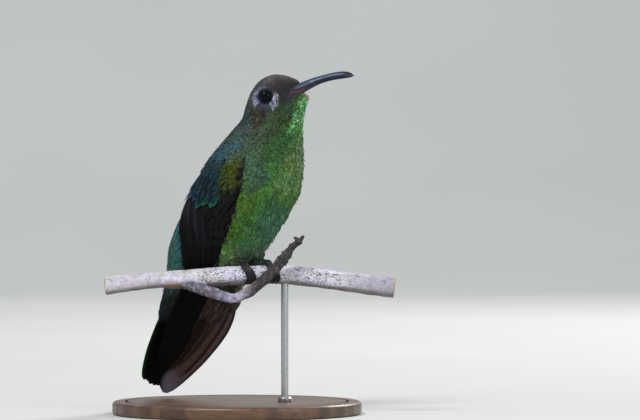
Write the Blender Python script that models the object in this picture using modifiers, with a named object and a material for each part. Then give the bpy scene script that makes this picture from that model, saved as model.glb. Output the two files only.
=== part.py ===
"""A life-size hummingbird, sitting upright on a cut length of branch that a plain display stand holds up.

Lengths are millimetres until an object is made. +X is the side the bill points to, +Z is up, and the
branch runs along X. The origin is the centre of the underside of the stand's base.
"""

from math import asin, cos, pi, radians, sin, sqrt, tan

import bmesh
import bpy
from mathutils import Matrix, Vector

MM = 0.001

# ---- driving dimensions -------------------------------------------------------------------------

GAP = 0.35  # air between neighbouring solids
CUT = 0.3  # width of the thin cuts that part the body
BODY_YAW = radians(30)  # how far the breast is turned from +X towards -Y

BASE_RADIUS = 38.0
BASE_HEIGHT = 4.0
BASE_EDGE = 0.8
ROD_RADIUS = 1.1
ROD_X = 14.6
ROD_DEPTH_IN_BASE = 2.5
ROD_DEPTH_IN_PERCH = 1.6

PERCH_Y = -5.5  # the branch passes in front of the tail

EYE_RADIUS = 2.2
EYE_PLACE = Vector((8.7, -7.5, 96.7))
HEAD_MIDDLE = Vector((12.7, -3.1, 96.8))
HEAD_YAW = radians(8)

TOE_RADIUS = 0.5
TOE_REACH = radians(128)  # how far the front toes curl round the branch
HALLUX_REACH = radians(-104)
TOE_SPLAY = (-1.7, 0.2, 1.9)
HIPS = {"right": radians(32), "left": radians(-6)}  # how far round from the breastbone
PALM_RADIUS = 0.85
THIGH_RADIUS = 2.6
ANKLE_RADIUS = 0.6
FEET = {"right": 2.4, "left": 9.8}  # place along the branch

WING_THICKNESS = 0.6
# Degrees round the body of a folded wing's leading and trailing edges, from shoulder to tip.
WING_EDGES = (
    (104, 166),
    (99, 172),
    (93, 174),
    (87, 160),
    (82, 142),
    (79, 134),
    (78, 137),
    (78, 140),
    (78, 142),
    (78, 142),
    (78, 142),
)
COVERT_THICKNESS = 0.7
COVERT_LENGTH = 0.27  # of the wing
LEFT_WING_BACK = radians(4)  # the left wing is folded a little further back
TAIL_THICKNESS = 0.9
TAIL_FEATHERS = 10
BODY_SIDES = 24

# Each ring of the body is given by its back edge (x, z), its front edge (x, z), the y of its middle,
# its half width, its yaw in degrees and how much narrower it is in front than behind.
BODY = {
    "face": (17.2, 101.6, 20.6, 97.9, -4.75, 1.45, 8, 0.1),
    "lores": (14.2, 102.9, 21.1, 97.3, -4.4, 2.15, 8, 0.3),
    "brow": (10.8, 103.3, 21.8, 96.9, -3.9, 3.6, 8, 0.45),
    "eye": (7.2, 101.6, 22.0, 96.0, -3.4, 5.2, 8, 0.46),
    "ear": (4.5, 98.2, 21.6, 94.7, -3.1, 6.2, 8, 0.36),
    "nape": (2.8, 93.9, 21.0, 92.9, -2.8, 7.0, 8, 0.2),
    "throat": (1.5, 89.9, 20.4, 90.0, -2.5, 7.8, 4, 0.1),
    "neck": (-1.6, 86.2, 20.1, 86.6, -1.9, 9.1, 0, 0.0),
    "mantle": (-5.7, 81.3, 20.1, 81.3, -1.0, 11.0, 0, 0.0),
    "shoulder": (-9.1, 75.6, 20.1, 75.0, 0.0, 12.8, 0, 0.0),
    "breast": (-12.5, 69.2, 19.1, 68.0, 1.2, 13.8, 0, 0.0),
    "chest": (-15.9, 62.8, 15.9, 61.2, 2.5, 14.0, 0, 0.0),
    "belly": (-19.0, 56.4, 11.2, 53.6, 3.9, 13.2, 0, 0.0),
    "flank": (-21.2, 50.0, 6.5, 46.3, 5.4, 11.4, 0, 0.0),
    "vent": (-21.8, 43.3, 2.0, 39.8, 7.7, 7.5, -8, 0.0),
    "undertail": (-22.8, 36.8, 0.4, 33.2, 9.6, 4.2, -25, 0.0),
    "coverts": (-24.1, 31.2, -3.6, 28.2, 11.2, 2.6, -35, 0.0),
    "fringe": (-24.3, 27.0, -7.4, 24.4, 12.4, 1.5, -35, 0.0),
}

# Below the vent the folded wings hang clear of the body and follow these rings instead: the right one
# beside the tail, the left one behind it.
HANGING = {
    "right": (
        (-23.0, 37.4, -3.0, 35.6, 8.6, 6.2, -20, 0.0),
        (-26.1, 29.4, -7.5, 27.8, 10.4, 4.6, -30, 0.0),
        (-28.7, 22.0, -10.6, 20.6, 11.8, 3.6, -35, 0.0),
        (-31.2, 16.0, -13.8, 14.0, 13.0, 3.2, -35, 0.0),
        (-29.1, 10.6, -23.1, 9.6, 13.9, 2.4, -35, 0.0),
    ),
    "left": (
        (-22.4, 37.6, -1.4, 36.0, 10.0, 6.6, -22, 0.0),
        (-25.3, 29.4, -2.8, 28.8, 12.0, 5.2, -30, 0.0),
        (-27.4, 22.0, -6.6, 21.6, 13.4, 4.6, -33, 0.0),
        (-28.8, 16.4, -11.6, 16.4, 15.2, 4.2, -36, 0.0),
        (-27.4, 12.0, -15.4, 12.0, 16.2, 3.6, -36, 0.0),
    ),
}

# The tail from root to tip: its near edge (x, y, z) and its far edge (x, y, z).
TAIL = (
    (-18.0, 7.5, 41.0, -2.0, 12.5, 40.0),
    (-23.0, 6.4, 33.5, 0.7, 15.5, 32.5),
    (-26.2, 6.8, 26.6, -1.8, 18.0, 25.6),
    (-28.5, 8.0, 20.0, -5.8, 20.0, 19.6),
    (-30.1, 9.5, 12.8, -10.7, 21.5, 14.0),
)
TAIL_ROUNDING = 8.6  # how much longer the longest feather is than the outermost
TAIL_LONGEST = 0.0  # where the longest feather is, from -1 at the near edge to 1 at the far one
TAIL_ROOF = 1.6  # how far the middle feathers stand off behind the outer ones
TAIL_SCALLOP = 0.9

# Axis of the bill: x, z and half its depth.
BILL = (
    (14.6, 97.2, 1.5),
    (17.5, 98.35, 1.7),
    (20.0, 99.4, 1.6),
    (23.5, 100.95, 1.25),
    (26.8, 102.0, 1.0),
    (29.8, 102.65, 1.0),
    (32.5, 103.0, 1.0),
    (34.4, 103.05, 0.68),
    (35.7, 102.75, 0.2),
)
BILL_Y = -4.3
BILL_WIDTH = 0.9  # of its depth

# Centreline of the branch and of its side twig: x, y away from the branch's plane, z and radius.
BRANCH_LINE = (
    (-40.0, 0.0, 39.0, 2.75),
    (-26.0, 0.0, 40.8, 2.45),
    (-14.3, 0.0, 41.4, 2.85),
    (1.5, 0.0, 42.4, 2.75),
    (14.6, 0.0, 42.6, 2.8),
    (29.6, 0.0, 40.9, 2.9),
    (48.0, 0.0, 38.6, 3.2),
)
TWIG_LINE = (
    (-18.0, 0.0, 40.9, 1.7),
    (-11.3, -2.6, 38.5, 1.75),
    (-5.8, -4.6, 36.8, 1.6),
    (-1.2, -5.6, 35.4, 1.5),
    (2.7, -6.0, 36.8, 1.45),
    (7.6, -6.2, 40.4, 1.45),
    (10.7, -6.4, 43.9, 1.4),
    (13.4, -6.6, 46.9, 1.35),
    (15.2, -6.8, 48.9, 1.2),
    (16.9, -7.0, 51.0, 0.85),
    (19.4, -7.2, 52.9, 1.05),
)

COLOURS = {  # base colour, roughness, metallic
    "plumage_green": ((0.10, 0.28, 0.06), 0.5, 0.3),
    "plumage_teal": ((0.02, 0.16, 0.17), 0.45, 0.3),
    "plumage_dusky": ((0.10, 0.09, 0.09), 0.6, 0.1),
    "plumage_pale": ((0.40, 0.42, 0.34), 0.7, 0.0),
    "flight_feather": ((0.03, 0.025, 0.035), 0.5, 0.0),
    "tail_feather": ((0.06, 0.045, 0.05), 0.5, 0.0),
    "bill_horn": ((0.02, 0.022, 0.03), 0.3, 0.0),
    "bill_flesh": ((0.22, 0.07, 0.05), 0.4, 0.0),
    "eye": ((0.01, 0.008, 0.008), 0.08, 0.0),
    "foot_skin": ((0.03, 0.027, 0.03), 0.55, 0.0),
    "bark": ((0.62, 0.58, 0.58), 0.85, 0.0),
    "walnut": ((0.09, 0.045, 0.022), 0.45, 0.0),
    "steel": ((0.45, 0.45, 0.46), 0.3, 1.0),
}


# ---- curves and rings ---------------------------------------------------------------------------


def spline(rows, t):
    """Smooth curve through equally spaced rows of numbers, read at t from 0 to len(rows) - 1."""
    last = len(rows) - 1
    i = min(int(t), last - 1)
    u = t - i
    before, start, end, after = (rows[min(max(i + k, 0), last)] for k in (-1, 0, 1, 2))
    return [
        0.5 * (2 * b + (c - a) * u + (2 * a - 5 * b + 4 * c - d) * u * u + (3 * b - a - 3 * c + d) * u**3)
        for a, b, c, d in zip(before, start, end, after)
    ]


def spread(start, end, count):
    """count numbers from start to end."""
    return [start + (end - start) * i / (count - 1) for i in range(count)]


BODY_RINGS = list(BODY.values())
RING = {name: i for i, name in enumerate(BODY)}
SHOULDER = RING["shoulder"] - 0.55  # where a wing starts
WING_RINGS = {side: BODY_RINGS[: RING["vent"] + 1] + list(rows) for side, rows in HANGING.items()}


def ring_point(rings, t, angle, grow=0.0):
    """A point on the ring at t. Angle 0 is its front edge, and a quarter turn is its -Y side."""
    back_x, back_z, front_x, front_z, y, width, yaw, egg = spline(rings, t)
    turn = radians(yaw)
    run = (front_x - back_x) / 2
    centre = Vector(((back_x + front_x) / 2, y, (back_z + front_z) / 2))
    fore = Vector((run, -run * tan(turn), (front_z - back_z) / 2))
    side = Vector((-sin(turn), -cos(turn), 0.0)) * width * (1 - egg * cos(angle))
    fore *= 1 + grow / fore.length
    side *= 1 + grow / side.length
    return centre + fore * cos(angle) + side * sin(angle)


def body_section(t, grow=0.0):
    return [ring_point(BODY_RINGS, t, 2 * pi * i / BODY_SIDES, grow) for i in range(BODY_SIDES)]


def branch_axis(x):
    """Centre and radius of the branch at x."""
    rows = BRANCH_LINE
    i = max(k for k in range(len(rows) - 1) if rows[k][0] <= x)
    t = i + (x - rows[i][0]) / (rows[i + 1][0] - rows[i][0])
    _, y, z, radius = spline(rows, t)
    return Vector((x, PERCH_Y + y, z)), radius


# ---- making objects -----------------------------------------------------------------------------


def material(name):
    found = bpy.data.materials.get(name)
    if found:
        return found
    colour, roughness, metallic = COLOURS[name]
    made = bpy.data.materials.new(name)
    made.use_nodes = True
    shader = made.node_tree.nodes["Principled BSDF"]
    shader.inputs["Base Color"].default_value = (*colour, 1)
    shader.inputs["Roughness"].default_value = roughness
    shader.inputs["Metallic"].default_value = metallic
    made.diffuse_color = (*colour, 1)
    return made


def add(name, data, finish=None):
    """A new object: a part of the bird or its stand, or a helper where it has no finish."""
    obj = bpy.data.objects.new(name, data)
    if finish:
        PARTS.objects.link(obj)
        data.materials.append(material(finish))
    else:
        CUTTERS.objects.link(obj)
        obj.hide_render = True
        obj.display_type = "WIRE"
    return obj


def from_bmesh(name, bm, finish=None):
    bmesh.ops.recalc_face_normals(bm, faces=bm.faces)
    bmesh.ops.scale(bm, vec=(MM, MM, MM), verts=bm.verts)
    data = bpy.data.meshes.new(name)
    bm.to_mesh(data)
    bm.free()
    data.shade_smooth()
    data.set_sharp_from_angle(angle=radians(40))
    return add(name, data, finish)


def loft(name, sections, finish=None):
    """A closed solid through loops of points that all have the same count."""
    bm = bmesh.new()
    loops = [[bm.verts.new(point) for point in section] for section in sections]
    for one, two in zip(loops, loops[1:]):
        for i in range(len(one)):
            bm.faces.new((one[i - 1], one[i], two[i], two[i - 1]))
    bm.faces.new(loops[0])
    bm.faces.new(loops[-1])
    return from_bmesh(name, bm, finish)


def shell(name, place, along, across, thickness, finish):
    """A sheet of even thickness whose middle is place(u, v), u along it and v across it, both 0 to 1."""
    bm = bmesh.new()
    bmesh.ops.create_grid(bm, x_segments=along, y_segments=across, size=0.5)
    for vert in bm.verts:
        vert.co = place(vert.co.x + 0.5, vert.co.y + 0.5)
    obj = from_bmesh(name, bm, finish)
    thicken = obj.modifiers.new("thickness", "SOLIDIFY")
    thicken.thickness = thickness * MM
    thicken.offset = 0
    return obj


def tube(name, rows, finish=None, sides=2):
    """A round tube through rows of x, y, z and radius."""
    curve = bpy.data.curves.new(name, "CURVE")
    curve.dimensions = "3D"
    curve.bevel_depth = MM
    curve.bevel_resolution = sides
    curve.use_fill_caps = True
    line = curve.splines.new("POLY")
    line.points.add(len(rows) - 1)
    for point, (x, y, z, radius) in zip(line.points, rows):
        point.co = (x * MM, y * MM, z * MM, 1)
        point.radius = radius
    guide = bpy.data.objects.new(name + "_guide", curve)
    CUTTERS.objects.link(guide)
    bpy.context.view_layer.update()
    data = bpy.data.meshes.new_from_object(guide.evaluated_get(bpy.context.evaluated_depsgraph_get()))
    bpy.data.objects.remove(guide)
    bm = bmesh.new()
    bm.from_mesh(data)
    bmesh.ops.remove_doubles(bm, verts=bm.verts, dist=1e-6)
    bmesh.ops.recalc_face_normals(bm, faces=bm.faces)
    bm.to_mesh(data)
    bm.free()
    data.name = name
    return add(name, data, finish)


def cylinder(name, radius, bottom, top, x, y, finish=None, sides=24):
    bm = bmesh.new()
    bmesh.ops.create_cone(
        bm, cap_ends=True, segments=sides, radius1=radius, radius2=radius, depth=top - bottom,
        matrix=Matrix.Translation((x, y, (bottom + top) / 2)),
    )
    return from_bmesh(name, bm, finish)


def ball(name, radius, centre, finish=None, segments=16):
    bm = bmesh.new()
    bmesh.ops.create_uvsphere(
        bm, u_segments=segments, v_segments=segments // 2 + 2, radius=radius,
        matrix=Matrix.Translation(centre),
    )
    return from_bmesh(name, bm, finish)


def combine(obj, operation, *others):
    """Cuts the other objects from obj, or joins them to it."""
    for other in others:
        step = obj.modifiers.new(other.name, "BOOLEAN")
        step.operation = operation
        step.object = other
    return obj


# ---- the bird -----------------------------------------------------------------------------------


def body_length(name, start, end, steps, grow=0.0, finish=None):
    """The length of the body between two places on its run of rings."""
    return loft(name, [body_section(t, grow) for t in spread(start, end, steps)], finish)


def mirrored_in_head(point):
    """The same place on the other side of the head."""
    across = Vector((-sin(HEAD_YAW), -cos(HEAD_YAW), 0.0))
    return point - 2 * (point - HEAD_MIDDLE).dot(across) * across


def bill_section(t, low, high, grow=0.0, sides=8):
    """The bill's outline at t, from the share low to the share high of its half depth."""
    x, z, depth = spline(BILL, t)
    ahead = spline(BILL, min(t + 0.05, len(BILL) - 1))
    behind = spline(BILL, max(t - 0.05, 0))
    along = Vector((ahead[0] - behind[0], 0, ahead[1] - behind[1])).normalized()
    up = Vector((-along.z, 0, along.x))
    side = Vector((-sin(HEAD_YAW), -cos(HEAD_YAW), 0))
    centre = Vector((x, BILL_Y - (x - BILL[0][0]) * tan(HEAD_YAW), z))
    depth += grow
    first, last = (asin(max(-1.0, min(1.0, share))) for share in (low, high))
    right = [first + (last - first) * i / (sides - 1) for i in range(sides)]
    angles = right + [pi - a for a in reversed(right)]
    if high >= 1:
        angles.pop(sides)
    if low <= -1:
        angles.pop()
    return [centre + up * depth * sin(a) + side * depth * BILL_WIDTH * cos(a) for a in angles]


def make_head():
    end = RING["nape"] + 0.2
    head = body_length("head", 0, end, 14, finish="plumage_dusky")
    bill_hole = loft(
        "bill_hole", [bill_section(t, -1, 1, GAP) for t in spread(0, len(BILL) - 1.2, 8)]
    )
    for side, place in (("right", EYE_PLACE), ("left", mirrored_in_head(EYE_PLACE))):
        ball(f"eye_{side}", EYE_RADIUS, place, "eye")
        combine(head, "DIFFERENCE", ball(f"socket_{side}", EYE_RADIUS + GAP, place))
    combine(head, "DIFFERENCE", bill_hole)
    return end


def make_bill():
    tip = len(BILL) - 1
    upper = [bill_section(t, 0.0, 1) for t in spread(0.15, tip, 14)]
    loft("bill_upper", upper, "bill_horn")
    lower = [bill_section(t, -1, -0.26) for t in spread(0.15, tip - 0.6, 13)]
    loft("bill_lower", lower, "bill_flesh")


def make_neck_and_trunk(head_end):
    shoulders = RING["mantle"] - 0.1
    neck_lengths = 4.2  # millimetres from one ring to the next
    start = head_end + CUT / neck_lengths
    body_length("neck", start, shoulders, 8, finish="plumage_green")
    start = shoulders + CUT / neck_lengths
    return body_length("trunk", start, len(BODY) - 1, 24, finish="plumage_green")


def wing_place(side, length, off, tip_sharpness):
    """place(u, v) for a folded wing lying on the flank: u runs from shoulder to tip, v from the leading
    edge to the trailing edge, length is its share of the whole wing, off its height over the flank."""
    rings = WING_RINGS[side]

    def place(u, v):
        rounding = sqrt(1 - max(0.0, 1 - u / 0.1) ** 2)
        tip = 1 - max(0.0, (u - 0.8) / 0.2) ** tip_sharpness
        share = 0.5 + (v - 0.5) * (0.35 + 0.65 * rounding) * (0.25 + 0.75 * tip)
        lead, trail = spline(WING_EDGES, u * length * (len(WING_EDGES) - 1))
        angle = radians(lead + (trail - lead) * share)
        if side == "left":
            angle = 2 * BODY_YAW - angle - LEFT_WING_BACK
        return ring_point(rings, SHOULDER + (len(rings) - 1 - SHOULDER) * u * length, angle, off)

    return place


def make_wings():
    flight_off = GAP + 0.05 + WING_THICKNESS / 2
    covert_off = flight_off + (WING_THICKNESS + COVERT_THICKNESS) / 2 + GAP
    for side in ("right", "left"):
        shell(
            f"wing_{side}_flight",
            wing_place(side, 1.0, flight_off, 1.5),
            18, 6, WING_THICKNESS, "flight_feather",
        )
        shell(
            f"wing_{side}_coverts",
            wing_place(side, COVERT_LENGTH, covert_off, 2.0),
            10, 6, COVERT_THICKNESS, "plumage_teal",
        )


def tail_place(u, v):
    """The fan of tail feathers, u from root to tip and v from its near edge to its far one."""
    row = spline(TAIL, u * (len(TAIL) - 1))
    near, far = Vector(row[:3]), Vector(row[3:])
    down = Vector((TAIL[-1][i] - TAIL[0][i] for i in range(3))).normalized()
    share = 2 * v - 1
    side = share - TAIL_LONGEST
    rounding = 1 - (side / (1 - TAIL_LONGEST if side > 0 else 1 + TAIL_LONGEST)) ** 2
    scallop = TAIL_SCALLOP * abs(sin(pi * TAIL_FEATHERS / 2 * v))
    longer = TAIL_ROUNDING * rounding * u**3 + scallop * max(0.0, 10 * u - 9)
    roof = down.cross(far - near).normalized() * TAIL_ROOF * (1 - share * share)
    return near.lerp(far, v) + down * longer - roof


def make_tail():
    tail = shell("tail", tail_place, 12, 20, TAIL_THICKNESS, "tail_feather")
    sleeve = body_length("coverts_sleeve", RING["belly"], len(BODY) - 1, 24, grow=GAP)
    return combine(tail, "DIFFERENCE", sleeve)


def toe_rows(foot_x, splay, reach, grow, steps=9):
    """Rows of a toe and its claw, curling round the branch from its top."""
    rows = []
    for i in range(steps):
        share = i / (steps - 1)
        angle = reach * share
        x = foot_x + splay * sin(pi / 2 * min(1.0, 1.6 * share))
        centre, branch_radius = branch_axis(x)
        thick = TOE_RADIUS * (1 - 0.25 * share)
        if share > 0.72:  # the claw
            thick *= 0.85 - 2.6 * (share - 0.72)
        off = branch_radius + GAP + TOE_RADIUS
        rows.append((x, centre.y - off * sin(angle), centre.z + off * cos(angle), thick + grow))
    return rows


def foot_pieces(side, palm, grow=0.0):
    """Helpers for the toes of one foot, which its palm joins."""
    x = palm.x
    pieces = [
        tube(f"toe_{side}_{i}_{grow}", toe_rows(x, splay, TOE_REACH, grow), sides=1)
        for i, splay in enumerate(TOE_SPLAY)
    ]
    pieces.append(tube(f"hallux_{side}_{grow}", toe_rows(x, 0.3, HALLUX_REACH, grow), sides=1))
    return pieces


def make_foot(side, perch_room):
    x = FEET[side]
    centre, radius = branch_axis(x)
    palm = Vector((x, centre.y + 0.2, centre.z + radius + GAP + TOE_RADIUS + 0.25))
    foot = ball(f"foot_{side}", PALM_RADIUS, palm, "foot_skin", 12)
    combine(foot, "UNION", *foot_pieces(side, palm))
    hip = ring_point(BODY_RINGS, RING["flank"] + 0.15, BODY_YAW + HIPS[side], -1.0)
    rows = [
        (*hip.lerp(palm, s), THIGH_RADIUS * (1 - s) ** 0.8 + ANKLE_RADIUS * s) for s in spread(0, 1, 8)
    ]
    leg = tube(f"leg_{side}", rows, "plumage_pale")
    trunk_room = body_length(f"trunk_room_{side}", RING["belly"], RING["vent"] + 1, 20, grow=GAP)
    foot_room = ball(f"foot_room_{side}", PALM_RADIUS + GAP, palm, segments=12)
    combine(leg, "DIFFERENCE", trunk_room, perch_room, foot_room, *foot_pieces(side, palm, GAP))


# ---- the perch and the stand --------------------------------------------------------------------


def smooth_rows(rows, steps):
    """Rows along the branch's or the twig's line, moved to where the branch is."""
    found = [spline(rows, t) for t in spread(0, len(rows) - 1, steps)]
    return [(x, PERCH_Y + y, z, radius) for x, y, z, radius in found]


def make_perch_room():
    """A helper that keeps the body and the legs clear of the branch."""
    rows = [(*row[:3], row[3] + GAP) for row in smooth_rows(BRANCH_LINE, 18)]
    return tube("perch_room", rows, sides=4)


def make_perch_and_stand():
    perch = tube("perch", smooth_rows(BRANCH_LINE, 18), "bark", 4)
    combine(perch, "UNION", tube("twig", smooth_rows(TWIG_LINE, 24), sides=2))
    centre, radius = branch_axis(ROD_X)
    rod_top = centre.z - radius + ROD_DEPTH_IN_PERCH
    rod_foot = BASE_HEIGHT - ROD_DEPTH_IN_BASE
    cylinder("stand_rod", ROD_RADIUS, rod_foot, rod_top, ROD_X, PERCH_Y, "steel")
    hole = cylinder("rod_hole", ROD_RADIUS + GAP, rod_foot - GAP, rod_top + GAP, ROD_X, PERCH_Y)
    combine(perch, "DIFFERENCE", hole)
    base = cylinder("stand_base", BASE_RADIUS, 0, BASE_HEIGHT, 0, 0, "walnut", 40)
    edge = base.modifiers.new("edge", "BEVEL")
    edge.width = BASE_EDGE * MM
    edge.segments = 2
    edge.limit_method = "ANGLE"
    combine(base, "DIFFERENCE", hole)


for old in list(bpy.data.objects):
    bpy.data.objects.remove(old)
PARTS = bpy.data.collections.new("hummingbird")
CUTTERS = bpy.data.collections.new("cutters")
for group in (PARTS, CUTTERS):
    bpy.context.scene.collection.children.link(group)

room = make_perch_room()
combine(make_neck_and_trunk(make_head()), "DIFFERENCE", room)
make_bill()
make_wings()
make_tail()
for foot_side in FEET:
    make_foot(foot_side, room)
make_perch_and_stand()
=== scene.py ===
"""The looks of a life-size hummingbird on a cut length of branch, held up by a display stand.

Lengths are millimetres until a mesh is made. +X is the side the bill points to and +Z is up.
"""

from math import cos, pi, radians, sin, tan

import bmesh
import bpy
import numpy as np
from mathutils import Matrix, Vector, kdtree


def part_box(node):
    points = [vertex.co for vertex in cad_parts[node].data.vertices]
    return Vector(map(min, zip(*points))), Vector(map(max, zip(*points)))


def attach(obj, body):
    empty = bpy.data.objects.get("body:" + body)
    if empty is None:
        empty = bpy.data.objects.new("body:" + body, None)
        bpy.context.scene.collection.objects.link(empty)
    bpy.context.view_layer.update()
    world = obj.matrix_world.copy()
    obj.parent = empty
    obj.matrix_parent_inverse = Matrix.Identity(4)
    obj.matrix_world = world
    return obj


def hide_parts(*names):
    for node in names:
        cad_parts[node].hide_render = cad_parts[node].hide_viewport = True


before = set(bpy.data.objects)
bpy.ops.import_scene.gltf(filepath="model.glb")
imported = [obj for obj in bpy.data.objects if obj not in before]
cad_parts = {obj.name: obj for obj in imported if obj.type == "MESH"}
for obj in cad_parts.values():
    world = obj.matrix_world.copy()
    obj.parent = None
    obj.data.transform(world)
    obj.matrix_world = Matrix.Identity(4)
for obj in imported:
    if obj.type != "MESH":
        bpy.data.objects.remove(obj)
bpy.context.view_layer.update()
rng = np.random.default_rng(11)
MM = 0.001
SIDES = ("right", "left")


def link(name, data):
    obj = bpy.data.objects.new(name, data)
    bpy.context.scene.collection.objects.link(obj)
    return obj


# ---- camera ----

AIM = Vector((0.0253, 0.0, 0.0622))
DISTANCE = 1.0844
camera = link("camera", bpy.data.cameras.new("camera"))
camera.data.lens = 200
camera.data.sensor_width = 36
camera.data.clip_start = 0.05
camera.location = AIM + Vector((0, -DISTANCE, 0))
camera.rotation_euler = (pi / 2, 0, 0)
bpy.context.scene.camera = camera

# ---- the bird's main dimensions, the same as the solids' ----

BODY_YAW = radians(30)
HEAD_YAW = radians(8)
EYE_RADIUS = 2.2
EYE_PLACE = np.array((8.7, -7.5, 96.7))
HEAD_MIDDLE = np.array((12.7, -3.1, 96.8))
PERCH_Y = -5.5
LEFT_WING_BACK = radians(4)
FEET = {"right": 2.4, "left": 9.8}
HIPS = {"right": radians(32), "left": radians(-6)}

# Rings round the body: the back's x and z, the front's x and z, the middle's y, half the width, a turn
# in degrees and how much narrower the front is.
BODY = {
    "face": (18.8, 101.6, 20.6, 97.9, -4.75, 1.45, 8, 0.1),
    "lores": (14.8, 103.1, 21.1, 97.3, -4.4, 2.15, 8, 0.3),
    "brow": (10.8, 103.3, 21.8, 96.9, -3.9, 3.6, 8, 0.45),
    "eye": (7.2, 101.6, 22.0, 96.0, -3.4, 5.2, 8, 0.46),
    "ear": (4.5, 98.2, 21.6, 94.7, -3.1, 6.2, 8, 0.36),
    "nape": (2.8, 93.9, 21.0, 92.9, -2.8, 7.0, 8, 0.2),
    "throat": (1.5, 89.9, 20.4, 90.0, -2.5, 7.8, 4, 0.1),
    "neck": (-1.6, 86.2, 20.1, 86.6, -1.9, 9.1, 0, 0.0),
    "mantle": (-5.7, 81.3, 20.1, 81.3, -1.0, 11.0, 0, 0.0),
    "shoulder": (-9.1, 75.6, 20.1, 75.0, 0.0, 12.8, 0, 0.0),
    "breast": (-12.5, 69.2, 19.1, 68.0, 1.2, 13.8, 0, 0.0),
    "chest": (-15.9, 62.8, 15.9, 61.2, 2.5, 14.0, 0, 0.0),
    "belly": (-19.0, 56.4, 11.2, 53.6, 3.9, 13.2, 0, 0.0),
    "flank": (-21.2, 50.0, 6.5, 46.3, 5.4, 11.4, 0, 0.0),
    "vent": (-21.8, 43.3, 2.0, 39.8, 7.7, 7.5, -8, 0.0),
    "undertail": (-22.8, 36.8, 0.4, 33.2, 9.6, 4.2, -25, 0.0),
    "coverts": (-24.1, 31.2, -3.6, 28.2, 11.2, 2.6, -35, 0.0),
    "fringe": (-24.3, 27.0, -7.4, 24.4, 12.4, 1.5, -35, 0.0),
}
# The wings' own rings beyond the vent.
HANGING = {
    "right": (
        (-23.0, 37.4, -3.0, 35.6, 8.6, 6.2, -20, 0.0),
        (-26.1, 29.4, -7.5, 27.8, 10.4, 4.6, -30, 0.0),
        (-28.7, 22.0, -10.6, 20.6, 11.8, 3.6, -35, 0.0),
        (-31.2, 16.0, -13.8, 14.0, 13.0, 3.2, -35, 0.0),
        (-29.1, 10.6, -23.1, 9.6, 13.9, 2.4, -35, 0.0),
    ),
    "left": (
        (-22.4, 37.6, -1.4, 36.0, 10.0, 6.6, -22, 0.0),
        (-25.3, 29.4, -2.8, 28.8, 12.0, 5.2, -30, 0.0),
        (-27.4, 22.0, -6.6, 21.6, 13.4, 4.6, -33, 0.0),
        (-28.8, 16.4, -11.6, 16.4, 15.2, 4.2, -36, 0.0),
        (-27.4, 12.0, -15.4, 12.0, 16.2, 3.6, -36, 0.0),
    ),
}
# Leading and trailing edge of a folded wing, in degrees round the body, from its bend to its tip.
WING_EDGES = np.array((
    (104, 166), (99, 172), (93, 172), (87, 155), (82, 136), (79, 129), (78, 133), (78, 139),
    (78, 142), (78, 142), (78, 142),
), float)
# Near and far edge of the tail, from its root.
TAIL = np.array((
    (-18.0, 7.5, 41.0, -2.0, 12.5, 40.0),
    (-23.0, 6.4, 33.5, 0.7, 15.5, 32.5),
    (-26.2, 6.8, 26.6, -1.8, 18.0, 25.6),
    (-28.5, 8.0, 20.0, -5.8, 20.0, 19.6),
    (-30.1, 9.5, 12.8, -10.7, 21.5, 14.0),
))
TAIL_ROUNDING = 8.6
TAIL_ROOF = 1.6
# x, z and half depth, from the face to the tip
BILL = np.array((
    (14.6, 97.2, 1.5), (17.5, 98.35, 1.7), (20.0, 99.4, 1.6), (23.5, 101.0, 1.32),
    (26.8, 102.1, 1.14), (29.8, 102.8, 1.14), (32.5, 103.15, 1.1), (34.4, 103.1, 0.76),
    (35.7, 102.8, 0.2),
))
BILL_Y = -4.3
BILL_RISE = 0.389
# x, y from the branch's middle, z and radius
BRANCH_LINE = np.array((
    (-40.0, 0.0, 39.0, 2.75), (-26.0, 0.0, 40.8, 2.45), (-14.3, 0.0, 41.4, 2.85),
    (1.5, 0.0, 42.4, 2.75), (14.6, 0.0, 42.6, 2.8), (29.6, 0.0, 40.9, 2.9), (48.0, 0.0, 38.6, 3.2),
))
TWIG_LINE = np.array((
    (-18.0, 0.0, 40.9, 1.7), (-11.3, -2.6, 38.5, 1.75), (-5.8, -4.6, 36.8, 1.6),
    (-1.2, -5.6, 35.4, 1.5), (2.7, -6.0, 36.8, 1.45), (7.6, -6.2, 40.4, 1.45),
    (10.9, -6.4, 43.9, 1.55), (13.8, -6.6, 46.9, 1.6), (15.5, -6.8, 48.9, 1.35),
    (16.9, -7.0, 51.0, 0.85), (19.4, -7.2, 52.9, 1.05),
))

# ---- numbers, curves and surfaces ----


def spline(rows, t):
    """Smooth curve through equally spaced rows, read at each t from 0 to len(rows) - 1."""
    t = np.asarray(t, float)
    last = len(rows) - 1
    i = np.clip(t.astype(int), 0, last - 1)
    u = (t - i)[..., None]
    a, b, c, d = (rows[np.clip(i + k, 0, last)] for k in (-1, 0, 1, 2))
    return 0.5 * (
        2 * b + (c - a) * u + (2 * a - 5 * b + 4 * c - d) * u**2 + (3 * b - a - 3 * c + d) * u**3
    )


def ramp(low, high, x):
    """0 below low, 1 above high, smooth between. low may be the higher of the two."""
    s = np.clip((np.asarray(x, float) - low) / (high - low), 0, 1)
    return s * s * (3 - 2 * s)


def hill(low, high, soft, x):
    """1 between low and high, falling to 0 over soft on either side."""
    return ramp(low - soft, low, x) * ramp(high + soft, high, x)


def length_of(v):
    return np.linalg.norm(v, axis=-1)


def unit(v):
    return v / np.maximum(length_of(v), 1e-9)[..., None]


def stack(*parts):
    return np.stack(np.broadcast_arrays(*parts), -1)


def around(count):
    """Angles of one full turn."""
    return 2 * pi * np.arange(count) / count


def grid_of(a, b):
    """Every pair of numbers from a and b."""
    return stack(*np.meshgrid(a, b, indexing="ij"))


def dot(a, b):
    return (a * b).sum(-1)


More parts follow.
